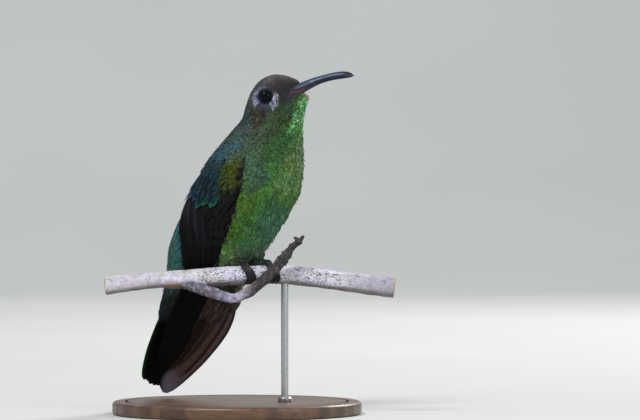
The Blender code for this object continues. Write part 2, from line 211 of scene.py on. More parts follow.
def rough(points, scale, octaves, seed):
    """Smooth made-up noise, about -1 to 1, with features about scale millimetres across."""
    found = np.zeros(len(points))
    source = np.random.default_rng(seed)
    amount, total = 1.0, 0.0
    for _ in range(octaves):
        waves = 7
        for _ in range(waves):
            direction = unit(source.normal(size=3)) * 2 * pi / scale * source.uniform(0.7, 1.3)
            found += amount * np.sin(points @ direction + source.uniform(0, 2 * pi)) / waves**0.5
        total += amount
        amount *= 0.55
        scale *= 0.5
    return found / total


def stripe(x, at, half):
    """1 where x is at, fading to either side."""
    return np.exp(-(((x - at) / half) ** 2))


def lengths_along(line):
    """How far along its line of points each point is."""
    steps = length_of(np.diff(line, axis=-2))
    return np.insert(np.cumsum(steps, -1), 0, 0.0, axis=-1)


RINGS = np.array(list(BODY.values()))
RING = {name: i for i, name in enumerate(BODY)}
LAST_RING = len(RINGS) - 1
SHOULDER = RING["shoulder"] - 0.55
WING_RINGS = {side: np.vstack([RINGS[: RING["vent"] + 1], rows]) for side, rows in HANGING.items()}
WING_LAST = len(WING_RINGS["right"]) - 1


def ring_point(rings, t, angle, grow):
    back_x, back_z, front_x, front_z, y, width, yaw, egg = np.moveaxis(spline(rings, t), -1, 0)
    turn = np.radians(yaw)
    run = (front_x - back_x) / 2
    centre = stack((back_x + front_x) / 2, y, (back_z + front_z) / 2)
    fore = stack(run, -run * np.tan(turn), (front_z - back_z) / 2)
    side = stack(-np.sin(turn), -np.cos(turn), 0 * turn)
    side = side * (width * (1 - egg * np.cos(angle)))[..., None]
    grow = np.asarray(grow, float)
    fore = fore * (1 + grow / length_of(fore))[..., None]
    side = side * (1 + grow / length_of(side))[..., None]
    return centre + fore * np.cos(angle)[..., None] + side * np.sin(angle)[..., None]


FORWARD = np.array((cos(HEAD_YAW), -sin(HEAD_YAW), 0.0))
ACROSS = np.array((-sin(HEAD_YAW), -cos(HEAD_YAW), 0.0))


def mirrored(v, middle=0.0):
    """A point beyond the head's middle plane, or a direction turned over in that plane."""
    return v - 2 * dot(v - middle, ACROSS) * ACROSS


EYES = {"right": EYE_PLACE, "left": mirrored(EYE_PLACE, HEAD_MIDDLE)}
# Which way each eye looks.
GAZE = {"right": unit(np.array((0.04, -1.0, 0.02)))}
GAZE["left"] = mirrored(GAZE["right"])
LID_RADIUS = 2.02
SOCKET_RADIUS = 4.2
SOCKET_DEPTH = 0.75


def from_eye(p, side):
    """Each point's offset from an eye's line of sight, its length, and how far out the point is."""
    away = p - EYES[side]
    out = dot(away, GAZE[side])
    flat = away - out[..., None] * GAZE[side]
    return flat, length_of(flat), out


def bill_axis_y(x):
    return BILL_Y - (x - BILL[0, 0]) * tan(HEAD_YAW)


def body_place(ab, height=0.0):
    """The bird's surface at ab = (t, angle), a height above it: the rings, with a hollow round each eye
    and one each side of the base of the bill."""
    p = ring_point(RINGS, np.clip(ab[..., 0], 0, LAST_RING), ab[..., 1], height)
    x, y, z = np.moveaxis(p, -1, 0)
    axis_z = BILL[0, 1] + BILL_RISE * (x - BILL[0, 0])
    hollow = 0.34 * ramp(11.8, 16.5, x) * stripe(z, axis_z, 2.3)
    middle = bill_axis_y(x)
    p[..., 1] = middle + (y - middle) * (1 - hollow * ramp(84, 90, z))
    for side, gaze in GAZE.items():
        flat, rho, out = from_eye(p, side)
        near = (out > -1.5) * 1.0
        p = p - gaze * (SOCKET_DEPTH * near * ramp(SOCKET_RADIUS, LID_RADIUS + 0.2, rho))[..., None]
        p = p + unit(flat) * (np.maximum(LID_RADIUS - rho, 0) * near)[..., None]
    return p


def wing_turn(angle, side):
    """An angle round the body, moved between the right wing and the wing of side."""
    return 2 * BODY_YAW - angle - LEFT_WING_BACK if side == "left" else angle


def wing_angle(phi, side):
    """The angle round the body counted as on the right wing, in degrees."""
    return np.degrees(np.mod(wing_turn(phi, side), 2 * pi))


def wing_u(t):
    return (t - SHOULDER) / (WING_LAST - SHOULDER)


def wing_t(u):
    return SHOULDER + (WING_LAST - SHOULDER) * u


def wing_edges(u, end=0.99):
    return np.moveaxis(spline(WING_EDGES, np.clip(u, 0, end) * (len(WING_EDGES) - 1)), -1, 0)


def wing_lift(ab):
    """How far the folded wings and the scapulars over them stand above the body."""
    t = ab[..., 0]
    lead, trail = wing_edges(wing_u(t))
    lift = 0
    for side in SIDES:
        a = wing_angle(ab[..., 1], side)
        inside = ramp(lead - 7, lead + 9, a) * ramp(trail + 9, trail - 8, a)
        lift = lift + inside * ramp(7.0, 9.0, t) * (1.7 - 0.9 * ramp(10.4, 12.2, t))
    return lift


def wing_place(side):
    def place(ab, height):
        u, v = ab[..., 0], ab[..., 1]
        rounding = np.sqrt(1 - np.clip(1 - u / 0.1, 0, 1) ** 2)
        tip = 1 - np.clip((u - 0.8) / 0.2, 0, 1) ** 1.5
        share = 0.5 + (v - 0.5) * (0.35 + 0.65 * rounding) * (0.25 + 0.75 * tip)
        lead, trail = wing_edges(u, 1)
        angle = wing_turn(np.radians(lead + (trail - lead) * share), side)
        return ring_point(WING_RINGS[side], wing_t(np.clip(u, 0, 1)), angle, height)

    return place


TAIL_DOWN = unit((TAIL[-1] - TAIL[0])[:3])


def tail_place(ab, height=0.0):
    """The fan of tail feathers. Height is towards the underside."""
    u, v = ab[..., 0], ab[..., 1]
    row = spline(TAIL, np.clip(u, 0, 1.05) * (len(TAIL) - 1))
    near, far = row[..., :3], row[..., 3:]
    roof = 1 - (2 * v - 1) ** 2
    under = unit(np.cross(np.broadcast_to(TAIL_DOWN, near.shape), far - near))
    middle = near + (far - near) * v[..., None] + TAIL_DOWN * (TAIL_ROUNDING * roof * u**3)[..., None]
    return middle + under * (height - TAIL_ROOF * roof)[..., None]


def frames_along(line):
    """Directions along and across a line of points, turning as little as they can."""
    along = unit(np.gradient(line, axis=0))
    side = np.zeros_like(line)
    start = np.cross(along[0], (0, 0, 1.0))
    if np.linalg.norm(start) < 0.1:
        start = np.cross(along[0], (0, 1.0, 0))
    side[0] = unit(start)
    for i in range(1, len(line)):
        side[i] = unit(side[i - 1] - along[i] * dot(side[i - 1], along[i]))
    return along, side, np.cross(along, side)


def branch_axis(x):
    t = np.interp(x, BRANCH_LINE[:, 0], np.arange(len(BRANCH_LINE)))
    row = spline(BRANCH_LINE, t)
    return stack(x, PERCH_Y + row[..., 1], row[..., 2]), row[..., 3]


# ---- meshes ----


def linear(colour):
    c = np.asarray(colour, float) / 255
    return np.where(c <= 0.04045, c / 12.92, ((c + 0.055) / 1.055) ** 2.4)


def put(name, mesh, material, slot, replaced=()):
    obj = link(name, mesh)
    mesh.materials.append(material)
    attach(obj, "root")
    if replaced:
        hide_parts(*replaced)


def paint(mesh, colours):
    layer = mesh.color_attributes.new("paint", "FLOAT_COLOR", "POINT")
    rgba = np.ones((len(mesh.vertices), 4), np.float32)
    rgba[:, :3] = np.clip(colours, 0, 1)
    layer.data.foreach_set("color", rgba.ravel())


def mesh_of(name, points, loops, sizes, colours, uvs):
    """A mesh from arrays: its loops one after another, with the size of each face."""
    mesh = bpy.data.meshes.new(name)
    mesh.vertices.add(len(points))
    mesh.vertices.foreach_set("co", (points * MM).astype(np.float32).ravel())
    mesh.loops.add(len(loops))
    mesh.loops.foreach_set("vertex_index", loops.astype(np.int32))
    mesh.polygons.add(len(sizes))
    starts = np.concatenate([[0], np.cumsum(sizes)[:-1]]).astype(np.int32)
    mesh.polygons.foreach_set("loop_start", starts)
    mesh.update(calc_edges=True)
    for label, values in uvs.items():
        layer = mesh.uv_layers.new(name=label)
        layer.data.foreach_set("uv", values[loops].astype(np.float32).ravel())
    paint(mesh, colours)
    mesh.shade_smooth()
    mesh.set_sharp_from_angle(angle=radians(65))
    return mesh


def vanes(name, place, ab, height, thickness, colours, patch, vane, under=None, under_colours=None,
          under_shift=0.0):
    """Closed feathers. ab is (feathers, sections, columns, 2) on the surface that place gives, height
    is (feathers, sections, columns), and the underside has the columns named in under."""
    count, sections, columns = height.shape
    back = [columns // 2] if under is None else under[::-1]
    below = colours if under_colours is None else under_colours
    low = place(ab[:, :, back], height[:, :, back] - thickness)
    points = np.concatenate([place(ab, height), low], 2)
    colours = np.concatenate([colours, below[:, :, back]], 2)
    patch = np.concatenate([patch, patch[:, :, back] + (under_shift, 0)], 2)
    vane = np.concatenate([vane, vane[:, :, back]], 2)
    # one feather's faces
    sides = points.shape[2]
    j, r = np.meshgrid(np.arange(sections - 1) * sides, np.arange(sides), indexing="ij")
    n = (r + 1) % sides
    quads = stack(j + r, j + n, j + sides + n, j + sides + r).reshape(-1, 4)
    root = np.arange(sides)[::-1]
    tip = (sections - 1) * sides + np.arange(sides)
    # turn the faces of a feather whose surface runs the other way round
    j, middle = sections // 2, columns // 2
    here = points[:, j, middle]
    cross = np.cross(points[:, j, middle + 1] - here, points[:, j + 1, middle] - here)
    turned = dot(cross, here - place(ab[:, j, middle], height[:, j, middle] - 1.0)) < 0
    flat = np.concatenate([quads.ravel(), root, tip])
    flipped = np.concatenate([quads[:, ::-1].ravel(), root[::-1], tip[::-1]])
    loops = np.where(turned[:, None], flipped, flat)
    loops = (loops + (np.arange(count) * sections * sides)[:, None]).ravel()
    sizes = np.tile([4] * len(quads) + [sides, sides], count)
    uvs = {"OFBake": patch.reshape(-1, 2), "vane": vane.reshape(-1, 2)}
    return mesh_of(name, points.reshape(-1, 3), loops, sizes, colours.reshape(-1, 3), uvs)


def tangents(place, ab):
    """Derivatives of a surface at ab, and its outward direction."""
    step = 1e-3
    pa, pb = ((place(ab + d, 0.0) - place(ab - d, 0.0)) / (2 * step)
              for d in (np.array((step, 0.0)), np.array((0.0, step))))
    out = place(ab, 0.5) - place(ab, 0.0)
    normal = unit(np.cross(pa, pb))
    return pa, pb, normal * np.sign(dot(normal, out))[..., None]


def per_mm(pa, pb, direction):
    """The move in a surface's own numbers that is one millimetre along a direction."""
    g11, g12, g22 = dot(pa, pa), dot(pa, pb), dot(pb, pb)
    d1, d2 = dot(pa, direction), dot(pb, direction)
    det = np.maximum(g11 * g22 - g12 * g12, 1e-9)
    return stack((g22 * d1 - g12 * d2) / det, (g11 * d2 - g12 * d1) / det)


def round_tip(s, start, narrowest):
    """Half widths of a feather whose end is half an ellipse from the share start."""
    end = np.sqrt(np.clip(1 - (np.clip(s - start, 0, 1) / (1 - start)) ** 2, narrowest**2, 1))
    return np.minimum(0.3 + 1.9 * s, 1.0) * end


# Sections along a feather, columns across it, its half widths, and how much shorter its edges are.
SMALL = (
    np.array((0.0, 0.26, 0.5, 0.7, 0.87, 1.0)), np.array((-1.0, -0.55, 0.0, 0.55, 1.0)),
    np.array((0.3, 0.8, 1.0, 1.0, 0.86, 0.46)), 0.2,
)
FINE_SHARES = 1 - (1 - np.linspace(0, 1, 13)) ** 1.3
FINE_COLUMNS = np.array((-1.0, -0.7, -0.35, 0.0, 0.35, 0.7, 1.0))
FINE = (FINE_SHARES, FINE_COLUMNS, round_tip(FINE_SHARES, 0.62, 0.3), 0.1)
LONG = (FINE_SHARES, FINE_COLUMNS, round_tip(FINE_SHARES, 0.76, 0.3), 0.05)
BEAD_SHARES = np.array((0.0, 0.3, 0.55, 0.72, 0.84, 0.93, 0.98, 1.0))
BEAD = (BEAD_SHARES, np.array((-1.0, -0.6, 0.0, 0.6, 1.0)), round_tip(BEAD_SHARES, 0.55, 0.25), 0.04)


# ---- materials ----


class Nodes:
    """A material's node tree, written as calls."""

    def __init__(self, name, **sockets):
        self.material = bpy.data.materials.new(name)
        self.material.use_nodes = True
        self.tree = self.material.node_tree
        self.shader = self.tree.nodes["Principled BSDF"]
        self.set(self.shader, sockets)

    def set(self, node, inputs):
        for label, value in inputs.items():
            socket = node.inputs[label if isinstance(label, int) else label.replace("_", " ")]
            if isinstance(value, bpy.types.NodeSocket):
                self.tree.links.new(value, socket)
            elif socket.type == "RGBA":
                socket.default_value = (*value, 1)
            else:
                socket.default_value = value

    def add(self, kind, inputs=None, output=0, **settings):
        node = self.tree.nodes.new("ShaderNode" + kind)
        for key, value in settings.items():
            setattr(node, key, value)
        self.set(node, inputs or {})
        return node.outputs[output]

    def math(self, operation, a, b=0.0):
        return self.add("Math", {0: a, 1: b}, operation=operation)

    def mix(self, factor, a, b, blend="MIX"):
        return self.add("Mix", {0: factor, 6: a, 7: b}, 2, data_type="RGBA", blend_type=blend)

    def ramp(self, value, low, high, start=0.0, end=1.0):
        inputs = {0: value, 1: low, 2: high, 3: start, 4: end}
        return self.add("MapRange", inputs, interpolation_type="SMOOTHSTEP")

    def attribute(self, name, output):
        return self.add("Attribute", output=output, attribute_name=name)

    def painted(self, tone):
        """The mesh's paint, darkened or lightened by a number."""
        grey = self.add("CombineColor", {0: tone, 1: tone, 2: tone})
        return self.mix(1.0, self.attribute("paint", "Color"), grey, "MULTIPLY")

    def place(self, scale=(1, 1, 1)):
        return self.add("Mapping", {"Vector": self.add("TexCoord", output=3), "Scale": scale})

    def noise(self, scale, detail=3.0, rough=0.55, at=None, **more):
        inputs = {"Vector": at or self.place(), "Scale": scale, "Detail": detail, "Roughness": rough}
        return self.add("TexNoise", {**inputs, **more})

    def bump(self, height, distance, strength):
        normal = self.add("Bump", {"Height": height, "Distance": distance, "Strength": strength})
        self.set(self.shader, {"Normal": normal})

    def finish(self, colour, roughness=None):
        self.set(self.shader, {"Base_Color": colour})
        if roughness is not None:
            self.set(self.shader, {"Roughness": roughness})
        return self.material


def feather_material(name, barb, contrast, bump, **sockets):
    """Painted feathers whose barbs run back from the shaft, barb millimetres apart."""
    n = Nodes(name, **sockets)
    across, along, _ = n.add("SeparateXYZ", {0: n.add("UVMap", uv_map="vane")}).node.outputs
    slant = n.math("MULTIPLY", n.math("ABSOLUTE", across), 1.25)
    wobble = n.math("MULTIPLY", n.noise(1400, 2), 0.5 * barb)
    along = n.math("ADD", n.math("SUBTRACT", along, slant), wobble)
    wave = n.math("SINE", n.math("MULTIPLY", along, 2 * pi / barb))
    wave = n.math("ADD", n.math("MULTIPLY", wave, 0.5), 0.5)
    patch = n.ramp(n.noise(700, 4, 0.6), 0.3, 0.7, 0.86, 1.1)
    colour = n.painted(n.math("MULTIPLY", n.ramp(wave, 0.0, 0.7, 1 - contrast, 1.0), patch))
    n.bump(wave, bump, 0.6)
    rough = sockets["Roughness"]
    return n.finish(colour, n.ramp(n.noise(500, 2), 0.3, 0.7, rough - 0.06, rough + 0.08))


SMOOTH = feather_material("plumage_bright", 0.24, 0.14, 0.00002, Metallic=0.12, Roughness=0.55,
                          Sheen_Weight=0.02, Specular_IOR_Level=0.3)
SILKY = feather_material("plumage_shoulder", 0.3, 0.2, 0.00002, Metallic=0.0, Roughness=0.6,
                         Sheen_Weight=0.0, Specular_IOR_Level=0.12)
SOFT = feather_material("plumage_soft", 0.3, 0.25, 0.00004, Metallic=0.0, Roughness=0.75,
                        Sheen_Weight=0.08, Specular_IOR_Level=0.2)
GLOSSY = feather_material("flight_feathers", 0.36, 0.25, 0.00004, Metallic=0.0, Roughness=0.58,
                          Sheen_Weight=0.0, Specular_IOR_Level=0.08)

# ---- markings ----

LEAF = (50, 106, 38)
SAGE = (86, 120, 68)
EMERALD = (92, 150, 96)
OLIVE = (42, 62, 34)
SLATE = (50, 64, 66)
DUSKY = (66, 64, 66)
CROWN_GREY = (78, 82, 80)
LORES = (48, 43, 46)
EAR = (30, 26, 22)
EAR_FLECK = (66, 66, 42)
TEAL = (34, 62, 68)
RUMP = (34, 78, 76)
LIME = (60, 98, 20)
SEA = (52, 96, 66)
VENT = (58, 64, 51)
THIGH = (42, 54, 36)
FLUFF = (112, 122, 108)
UNDERTAIL = (17, 12, 10)
WHITE = (156, 166, 208)
LID_GREY = (62, 62, 74)
CHIN = (98, 94, 78)
DOWN = (44, 48, 42)
SCAPULAR = (10, 35, 43)
SCAPULAR_DARK = (4, 8, 17)
TURQUOISE = (12, 78, 60)
GOLD = (50, 61, 9)
COVERT_BROWN = (10, 9, 8)


def toward(base, colour, weight):
    base = np.asarray(base, float)
    return base + (np.asarray(colour, float) - base) * np.asarray(np.clip(weight, 0, 1))[..., None]


def layered(base, *layers):
    """A colour with others laid over it in turn, each with how far it covers."""
    for colour, weight in layers:
        base = toward(base, colour, weight)
    return base


def from_breastbone(ab):
    """Degrees round the body from the middle of the underside, 0 to 180."""
    middle = np.interp(ab[..., 0], (0, 5, 8, 13, 16), (8, 8, 30, 30, 34))
    return np.abs((np.degrees(ab[..., 1]) - middle + 180) % 360 - 180)


def wing_share(ab):
    """(across the wing from its leading edge, whether it is on a wing) for a place on the body."""
    lead, trail = wing_edges(wing_u(ab[..., 0]))
    right, left = (wing_angle(ab[..., 1], side) for side in SIDES)
    a = np.where(np.abs(right - 135) < np.abs(left - 135), right, left)
    return (a - lead) / (trail - lead), ramp(lead - 5, lead + 1, a) * ramp(trail + 6, trail - 2, a)


def scapular_edge(u):
    """How far across the folded wing the scapulars reach towards its leading edge."""
    return np.interp(u, (-0.03, 0.0, 0.03, 0.07, 0.134, 0.2), (0.26, 0.36, 0.40, 0.37, 0.32, 0.28))


def head_marks(p, ragged):
    """How far each point belongs to the dark patch over the ear, the white marks round the eye and the
    grey below it."""
    ahead, aside = dot(p - HEAD_MIDDLE, FORWARD), np.abs(dot(p - HEAD_MIDDLE, ACROSS))
    up = p[..., 2] - HEAD_MIDDLE[2]
    on_side = ramp(2.5, 4.0, aside)
    ear = ((ahead + 5.2) / 2.5) ** 2 + ((up + 5.0) / 2.9) ** 2
    eye = EYE_PLACE - HEAD_MIDDLE
    x, z = ahead - dot(eye, FORWARD), up - eye[2]
    rho = np.hypot(x, z)
    turn = np.degrees(np.arctan2(z, x)) % 360
    signed = (turn + 180) % 360 - 180
    front = hill(-50, 24, 8, signed)
    back = hill(146, 216, 12, turn)
    above = hill(44, 142, 12, turn)
    reach = 4.0 + 0.9 * ramp(46, 8, np.abs(signed + 6))
    ring = front * ramp(0.5, 0.0, rho - reach + 0.5 * ragged) + back * ramp(3.9, 3.4, rho + 0.3 * ragged)
    ring = ring + above * ramp(3.2, 2.8, rho) * 0.5
    ring = np.clip(ring, 0, 1) * (0.45 + 0.55 * ramp(-0.5, 0.1, rough(p, 1.1, 2, 44)))
    below = hill(228, 296, 8, turn) * ramp(3.9, 3.3, rho)
    return ramp(1.3, 0.8, ear + 0.25 * ragged) * on_side, ring * on_side, below * on_side


def plumage(ab):
    """The markings at ab, as display colours from 0 to 255."""
    t = ab[..., 0]
    v, on_wing = wing_share(ab)
    on_wing = on_wing * ramp(8.0, 8.5, t) * ramp(14.6, 13.8, t)
    u = wing_u(t)
    p = body_place(ab)
    ragged = rough(p, 5.0, 2, 41)
    v = v + 0.04 * ragged
    b = from_breastbone(ab) + 7 * rough(p, 4.0, 2, 42)
    t = t + 0.35 * ragged
    ear, ring, below = head_marks(p, ragged)
    flecks = rough(p, 0.8, 1, 71)
    c = layered(
        LEAF,
        (SAGE, hill(7.6, 9.6, 0.9, t) * ramp(42, 16, b)),
        ((48, 76, 56), hill(7.4, 10.6, 1.0, t) * hill(50, 84, 14, b) * 0.9),
        ((44, 84, 40), hill(6.8, 8.2, 0.7, t) * hill(22, 50, 10, b) * 0.8),
        (EMERALD, ramp(7.4, 5.4, t) * ramp(50, 26, b)),
        # painted shade: a darker green band down the sides of the neck
        ((42, 66, 32), ramp(7.8, 6.8, t) * hill(40, 68, 12, b)),
        (OLIVE, hill(4.2, 7.6, 0.8, t) * hill(66, 92, 9, b)),
        (TEAL, ramp(6.4, 7.6, t) * ramp(76, 100, b)),
        (SLATE, hill(3.4, 6.6, 0.9, t) * ramp(86, 104, b)),
        (DUSKY, ramp(4.4, 3.2, t) * ramp(92, 106, b)),
        (CROWN_GREY, ramp(1.6, 0.8, t) * ramp(120, 150, b) * 0.8),
        (LORES, ramp(4.6, 3.6, t) * hill(53, 112, 9, b)),
        (LORES, ramp(1.5, 0.8, t) * ramp(24, 40, b)),
        (RUMP, ramp(9.5, 11.5, t) * ramp(96, 110, b)),
        ((20, 30, 32), ramp(14.1, 14.9, t) * ramp(96, 112, b)),
        # the belly's sides: partly their own yellow-green, partly painted light that makes them brighter
        (LIME, hill(10.2, 12.8, 1.0, t) * hill(46, 80, 14, b) * 0.9),
        (SEA, hill(10.8, 12.9, 0.9, t) * ramp(40, 20, b)),
        (VENT, ramp(12.8, 13.7, t) * ramp(100, 66, b)),
        ((88, 90, 74), hill(12.6, 14.2, 0.7, t) * ramp(46, 20, b) * 0.6),
        ((112, 142, 100), hill(12.5, 13.8, 0.4, t) * hill(38, 54, 5, b) * 0.7),
        (UNDERTAIL, ramp(13.8, 14.3, t) * ramp(118, 96, b)),
        (CHIN, ramp(2.4, 1.5, t) * ramp(36, 16, b)),
        (EAR, ear),
        (EAR_FLECK, ear * ramp(0.15, 0.4, flecks)),
    )
    c = c * (1 - 0.5 * ear * ramp(-0.15, -0.3, flecks))[..., None]
    edge = scapular_edge(u)
    wing = layered(TEAL, (SCAPULAR, ramp(-0.04, 0.05, u)), (GOLD, ramp(edge, edge - 0.05, v)),
                   (COVERT_BROWN, ramp(0.05, 0.01, v)))
    return layered(c, (LID_GREY, below), (WHITE, ring), (wing, on_wing))


# ---- the coat ----

KNOTS = (0, 1, 2, 3, 4, 5, 6, 7, 8, 10, 12, 13, 14, 15, 16, 17)
LENGTH_BELOW = (0.8, 0.9, 1.1, 1.3, 1.4, 1.6, 1.8, 2.2, 2.6, 3.0, 3.4, 3.7, 4.2, 4.6, 4.2, 3.6)
LENGTH_ABOVE = (0.8, 1.0, 1.2, 1.4, 1.6, 1.9, 2.2, 2.6, 3.0, 3.2, 3.4, 3.5, 3.7, 4.2, 4.6, 4.6)
DEPTH = (0.35, 0.4, 0.45, 0.5, 0.5, 0.6, 0.7, 0.8, 0.9, 0.95, 0.95, 0.9, 0.8, 0.6, 0.45, 0.35)
SPACING = 0.21  # of a feather's length
CROWD = 6.3  # places tried for each one kept, about
WISPS = 1200
FEATHER_THICKNESS = 0.06
COAT_END = 15.9
SKIN_END = 16.2


def depth_at(t):
    return np.interp(t, KNOTS, DEPTH)


def eye_distance(p):
    """How far each point is from the nearer eye's line of sight."""
    return np.minimum(*(np.where(out > -1.0, rho, 99.0) for _, rho, out in (from_eye(p, s) for s in SIDES)))


def feather_length(ab):
    t = ab[..., 0]
    below, above = np.interp(t, KNOTS, LENGTH_BELOW), np.interp(t, KNOTS, LENGTH_ABOVE)
    length = below + (above - below) * ramp(70, 110, from_breastbone(ab))
    return length * (1 - 0.4 * ramp(5.6, 3.2, eye_distance(body_place(ab))))


def tree_of(points):
    tree = kdtree.KDTree(len(points))
    for i, point in enumerate(points):
        tree.insert(point, i)
    tree.balance()
    return tree


def scatter(start, end, apart=SPACING):
    """Places (t, angle) on the body from ring start to ring end, spaced by a share of a feather's length."""
    rows, columns = 500, 360
    cell = np.array(((end - start) / rows, 2 * pi / columns))
    t = start + cell[0] * (np.arange(rows) + 0.5)
    phi = cell[1] * (np.arange(columns) + 0.5)
    grid = grid_of(t, phi).reshape(-1, 2)
    pa, pb, _ = tangents(body_place, grid)
    area = length_of(np.cross(pa, pb)) * cell.prod()
    weight = area / (apart * feather_length(grid)) ** 2
    total = int(weight.sum() * CROWD)
    chosen = grid[rng.choice(len(grid), total, p=weight / weight.sum())]
    chosen = chosen + rng.uniform(-0.5, 0.5, chosen.shape) * cell
    points = body_place(chosen)
    spacing = apart * feather_length(chosen)
    tree = tree_of(points)
    alive = np.ones(total, bool)
    kept = []
    for i in range(total):
        if alive[i]:
            kept.append(i)
            for _, other, _ in tree.find_range(points[i], spacing[i]):
                alive[other] = False
    return chosen[kept]


def tone_of(ab, spread, sparkle=0.0):
    """How light each feather is and how far its hue leans: broad mottling and the feather's own."""
    p = body_place(ab)
    count = len(ab)
    value = np.exp(rng.normal(0, spread, count) + 0.15 * rough(p, 4.5, 3, 51))
    # sparkle paints glints: random feathers made lighter or darker, as iridescent feathers catch or miss the
    # light
    value = value * (1 + sparkle * rng.choice((-0.36, 0.0, 0.5), count, p=(0.4, 0.34, 0.26)))
    return value, rng.normal(0, 0.5, count) + rough(p, 6.5, 2, 52)


def shade_with(own, tone, fringe, fringe_colour, glow=1.1, streak=0.07, base=DOWN, base_end=0.3):
    """Colours for feathers: a dusky base, the markings' colour and a rim at the tip."""
    value, hue = tone
    own = np.clip(own * value[:, None] * (1 + hue[:, None] * (0.07, 0, -0.08)), 0, 255)
    count = len(own)
    fringe = np.clip(fringe * rng.uniform(0.5, 1.5, count), 0, 1)[:, None, None]

    def shade(s, w):
        c = own[:, None, None] * (1 + (glow - 1) * hill(0.6, 0.88, 0.2, s))[..., None]
        c = toward(c, base, ramp(base_end + 0.12, base_end - 0.12, s) * 0.6)
        c = toward(c, fringe_colour, ramp(0.78, 1.0, s) * fringe)
        barbs = np.exp(rng.normal(0, streak, (count, 1, s.shape[2])))
        return linear(np.clip(c * barbs[..., None], 0, 255))

    return shade


def coat_surface(ab, height):
    return body_place(ab, height + wing_lift(ab))


def lie_of(ab, loose):
    """Which way the feathers at ab point: back along the body, away from the eyes, and a little askew."""
    pa, _, normal = tangents(body_place, ab)
    heading = unit(pa)
    for side in SIDES:
        flat, rho, out = from_eye(body_place(ab), side)
        heading = unit(heading + unit(flat) * (1.5 * ramp(4.2, 2.6, rho) * (out > -1))[:, None])
    turn = (rng.normal(0, 1, len(ab)) * loose)[:, None]
    return heading * np.cos(turn) + np.cross(normal, heading) * np.sin(turn)


def coat(name, ab, length, width, material, slot, shade_of, rise=(0.02, 0.10), fray=0.10, loose=0.12,
         raised=0.0, shape=SMALL, place=coat_surface, lie=lie_of):
    """A piece of the coat, with feathers rooted at ab. rise is the range of heights of their tips over
    the surface, fray how uneven the tips are and loose how far askew the feathers lie."""
    order = np.argsort(ab[:, 0], kind="stable")
    ab, count = ab[order], len(ab)
    length, width, raised = (np.broadcast_to(each, (count,))[order] for each in (length, width, raised))
    length = (length * rng.uniform(0.86, 1.14, count))[:, None, None]
    width = (width * rng.uniform(0.88, 1.12, count))[:, None, None]
    low = -depth_at(ab[:, 0])[:, None, None]
    high = (rng.uniform(*rise, count) + raised)[:, None, None]
    heading = lie(ab, loose)
    shade = shade_of(ab)
    sections, columns, outline, drawn_in = shape
    pa, pb, normal = tangents(place, ab)
    along = unit(heading - dot(heading, normal)[:, None] * normal)
    step_along, step_side = (per_mm(pa, pb, d)[:, None, None] for d in (along, np.cross(normal, along)))
    size = (count, len(sections), len(columns))
    s, w = np.broadcast_to(sections[:, None], size), np.broadcast_to(columns, size)
    reach = s * (1 - drawn_in * w**2 * s)
    x = (reach + fray * rng.uniform(-1, 1, (count, 1, len(columns))) * ramp(0.65, 1.0, s)) * length
    y = w * outline[:, None] * width / 2
    y = y + rng.uniform(-0.12, 0.12, count)[:, None, None] * width * s**2
    root = ab[:, None, None]
    camber = 0.03 if shape is LONG else 0.06
    height = low + (high - low) * s**0.8 - camber * width * w**2 * (0.4 + 0.6 * s)
    patch = 0.01 + 0.98 * stack(np.mod(root[..., 1] / (2 * pi), 1), root[..., 0] / LAST_RING)
    patch = patch + 0.003 * stack(0.5 * w * outline[:, None], s - 0.5)
    mesh = vanes(name, place, root + x[..., None] * step_along + y[..., None] * step_side, height,
                 FEATHER_THICKNESS * (1 - 0.6 * sections)[:, None], shade(s, w), patch,
                 stack(y, x))
    put(name, mesh, material, slot)


def wing_rows(first, last, step, apart, nearest, furthest, sag=0.0, stagger=0.5):
    """Roots of rows of coverts on both wings, as (t, angle). apart is the distance between neighbours as
    a share of the wing's width, and sag how much sooner the rows end at the trailing edge."""
    found = []
    for k, u in enumerate(np.arange(first, last, step)):
        lead, trail = wing_edges(u)
        for side in SIDES:
            v = np.arange(nearest(u) + apart * (0.25 + stagger * (k % 2)), furthest(u), apart)
            v = v + rng.normal(0, 0.06 * apart, len(v))
            uu = u * (1 - sag * np.clip(v - 0.4, 0, 1)) + rng.normal(0, 0.10 * step, len(v))
            angle = wing_turn(np.radians(lead + (trail - lead) * v), side)
            found.append(stack(wing_t(uu), np.mod(angle, 2 * pi)))
    return np.concatenate(found)


def leg_line(side, steps=12):
    """The thigh and shank, from inside the flank to the palm."""
    centre, radius = branch_axis(FEET[side])
    palm = centre + (0, 0.2, radius + 0.75)
    hip = ring_point(RINGS, RING["flank"] + 0.15, BODY_YAW + HIPS[side], -1.0)
    s = np.linspace(0, 1, steps)[:, None]
    return hip + (palm - hip) * s, s[:, 0], palm


def thigh_radius(s):
    return 2.2 * np.clip(1 - s, 0, 1) ** 0.9 + 0.5 * s


def thigh_place(side):
    line, _, palm = leg_line(side)
    _, across, up = frames_along(line)

    def place(ab, height):
        s, turn = ab[..., :1], ab[..., 1:]
        r = thigh_radius(s) + np.asarray(height)[..., None]
        return line[0] + (palm - line[0]) * s + r * (across[0] * np.cos(turn) + up[0] * np.sin(turn))

    return place


def plain(fringe, colour, spread=0.07, **more):
    """The markings' colour with rims of one colour, paler over the shoulders."""
    def shade_of(r):
        pale = hill(7.4, 8.3, 0.4, r[:, 0]) * hill(66, 108, 8, from_breastbone(r))
        rim = toward(colour, (122, 138, 140), pale * 0.8)[:, None, None]
        return shade_with(plumage(r), tone_of(r, spread), fringe + 0.14 * pale, rim, **more)

    return shade_of


def throat_shade(r):
    # painted glints, more of them towards the throat's front, where the iridescent feathers catch the light
    bright = ramp(8.0, 6.0, r[:, 0]) * ramp(58, 40, from_breastbone(r))
    return shade_with(plumage(r), tone_of(r, 0.08, 0.2 + 0.8 * bright), 0.1, (60, 80, 56), 1.15)


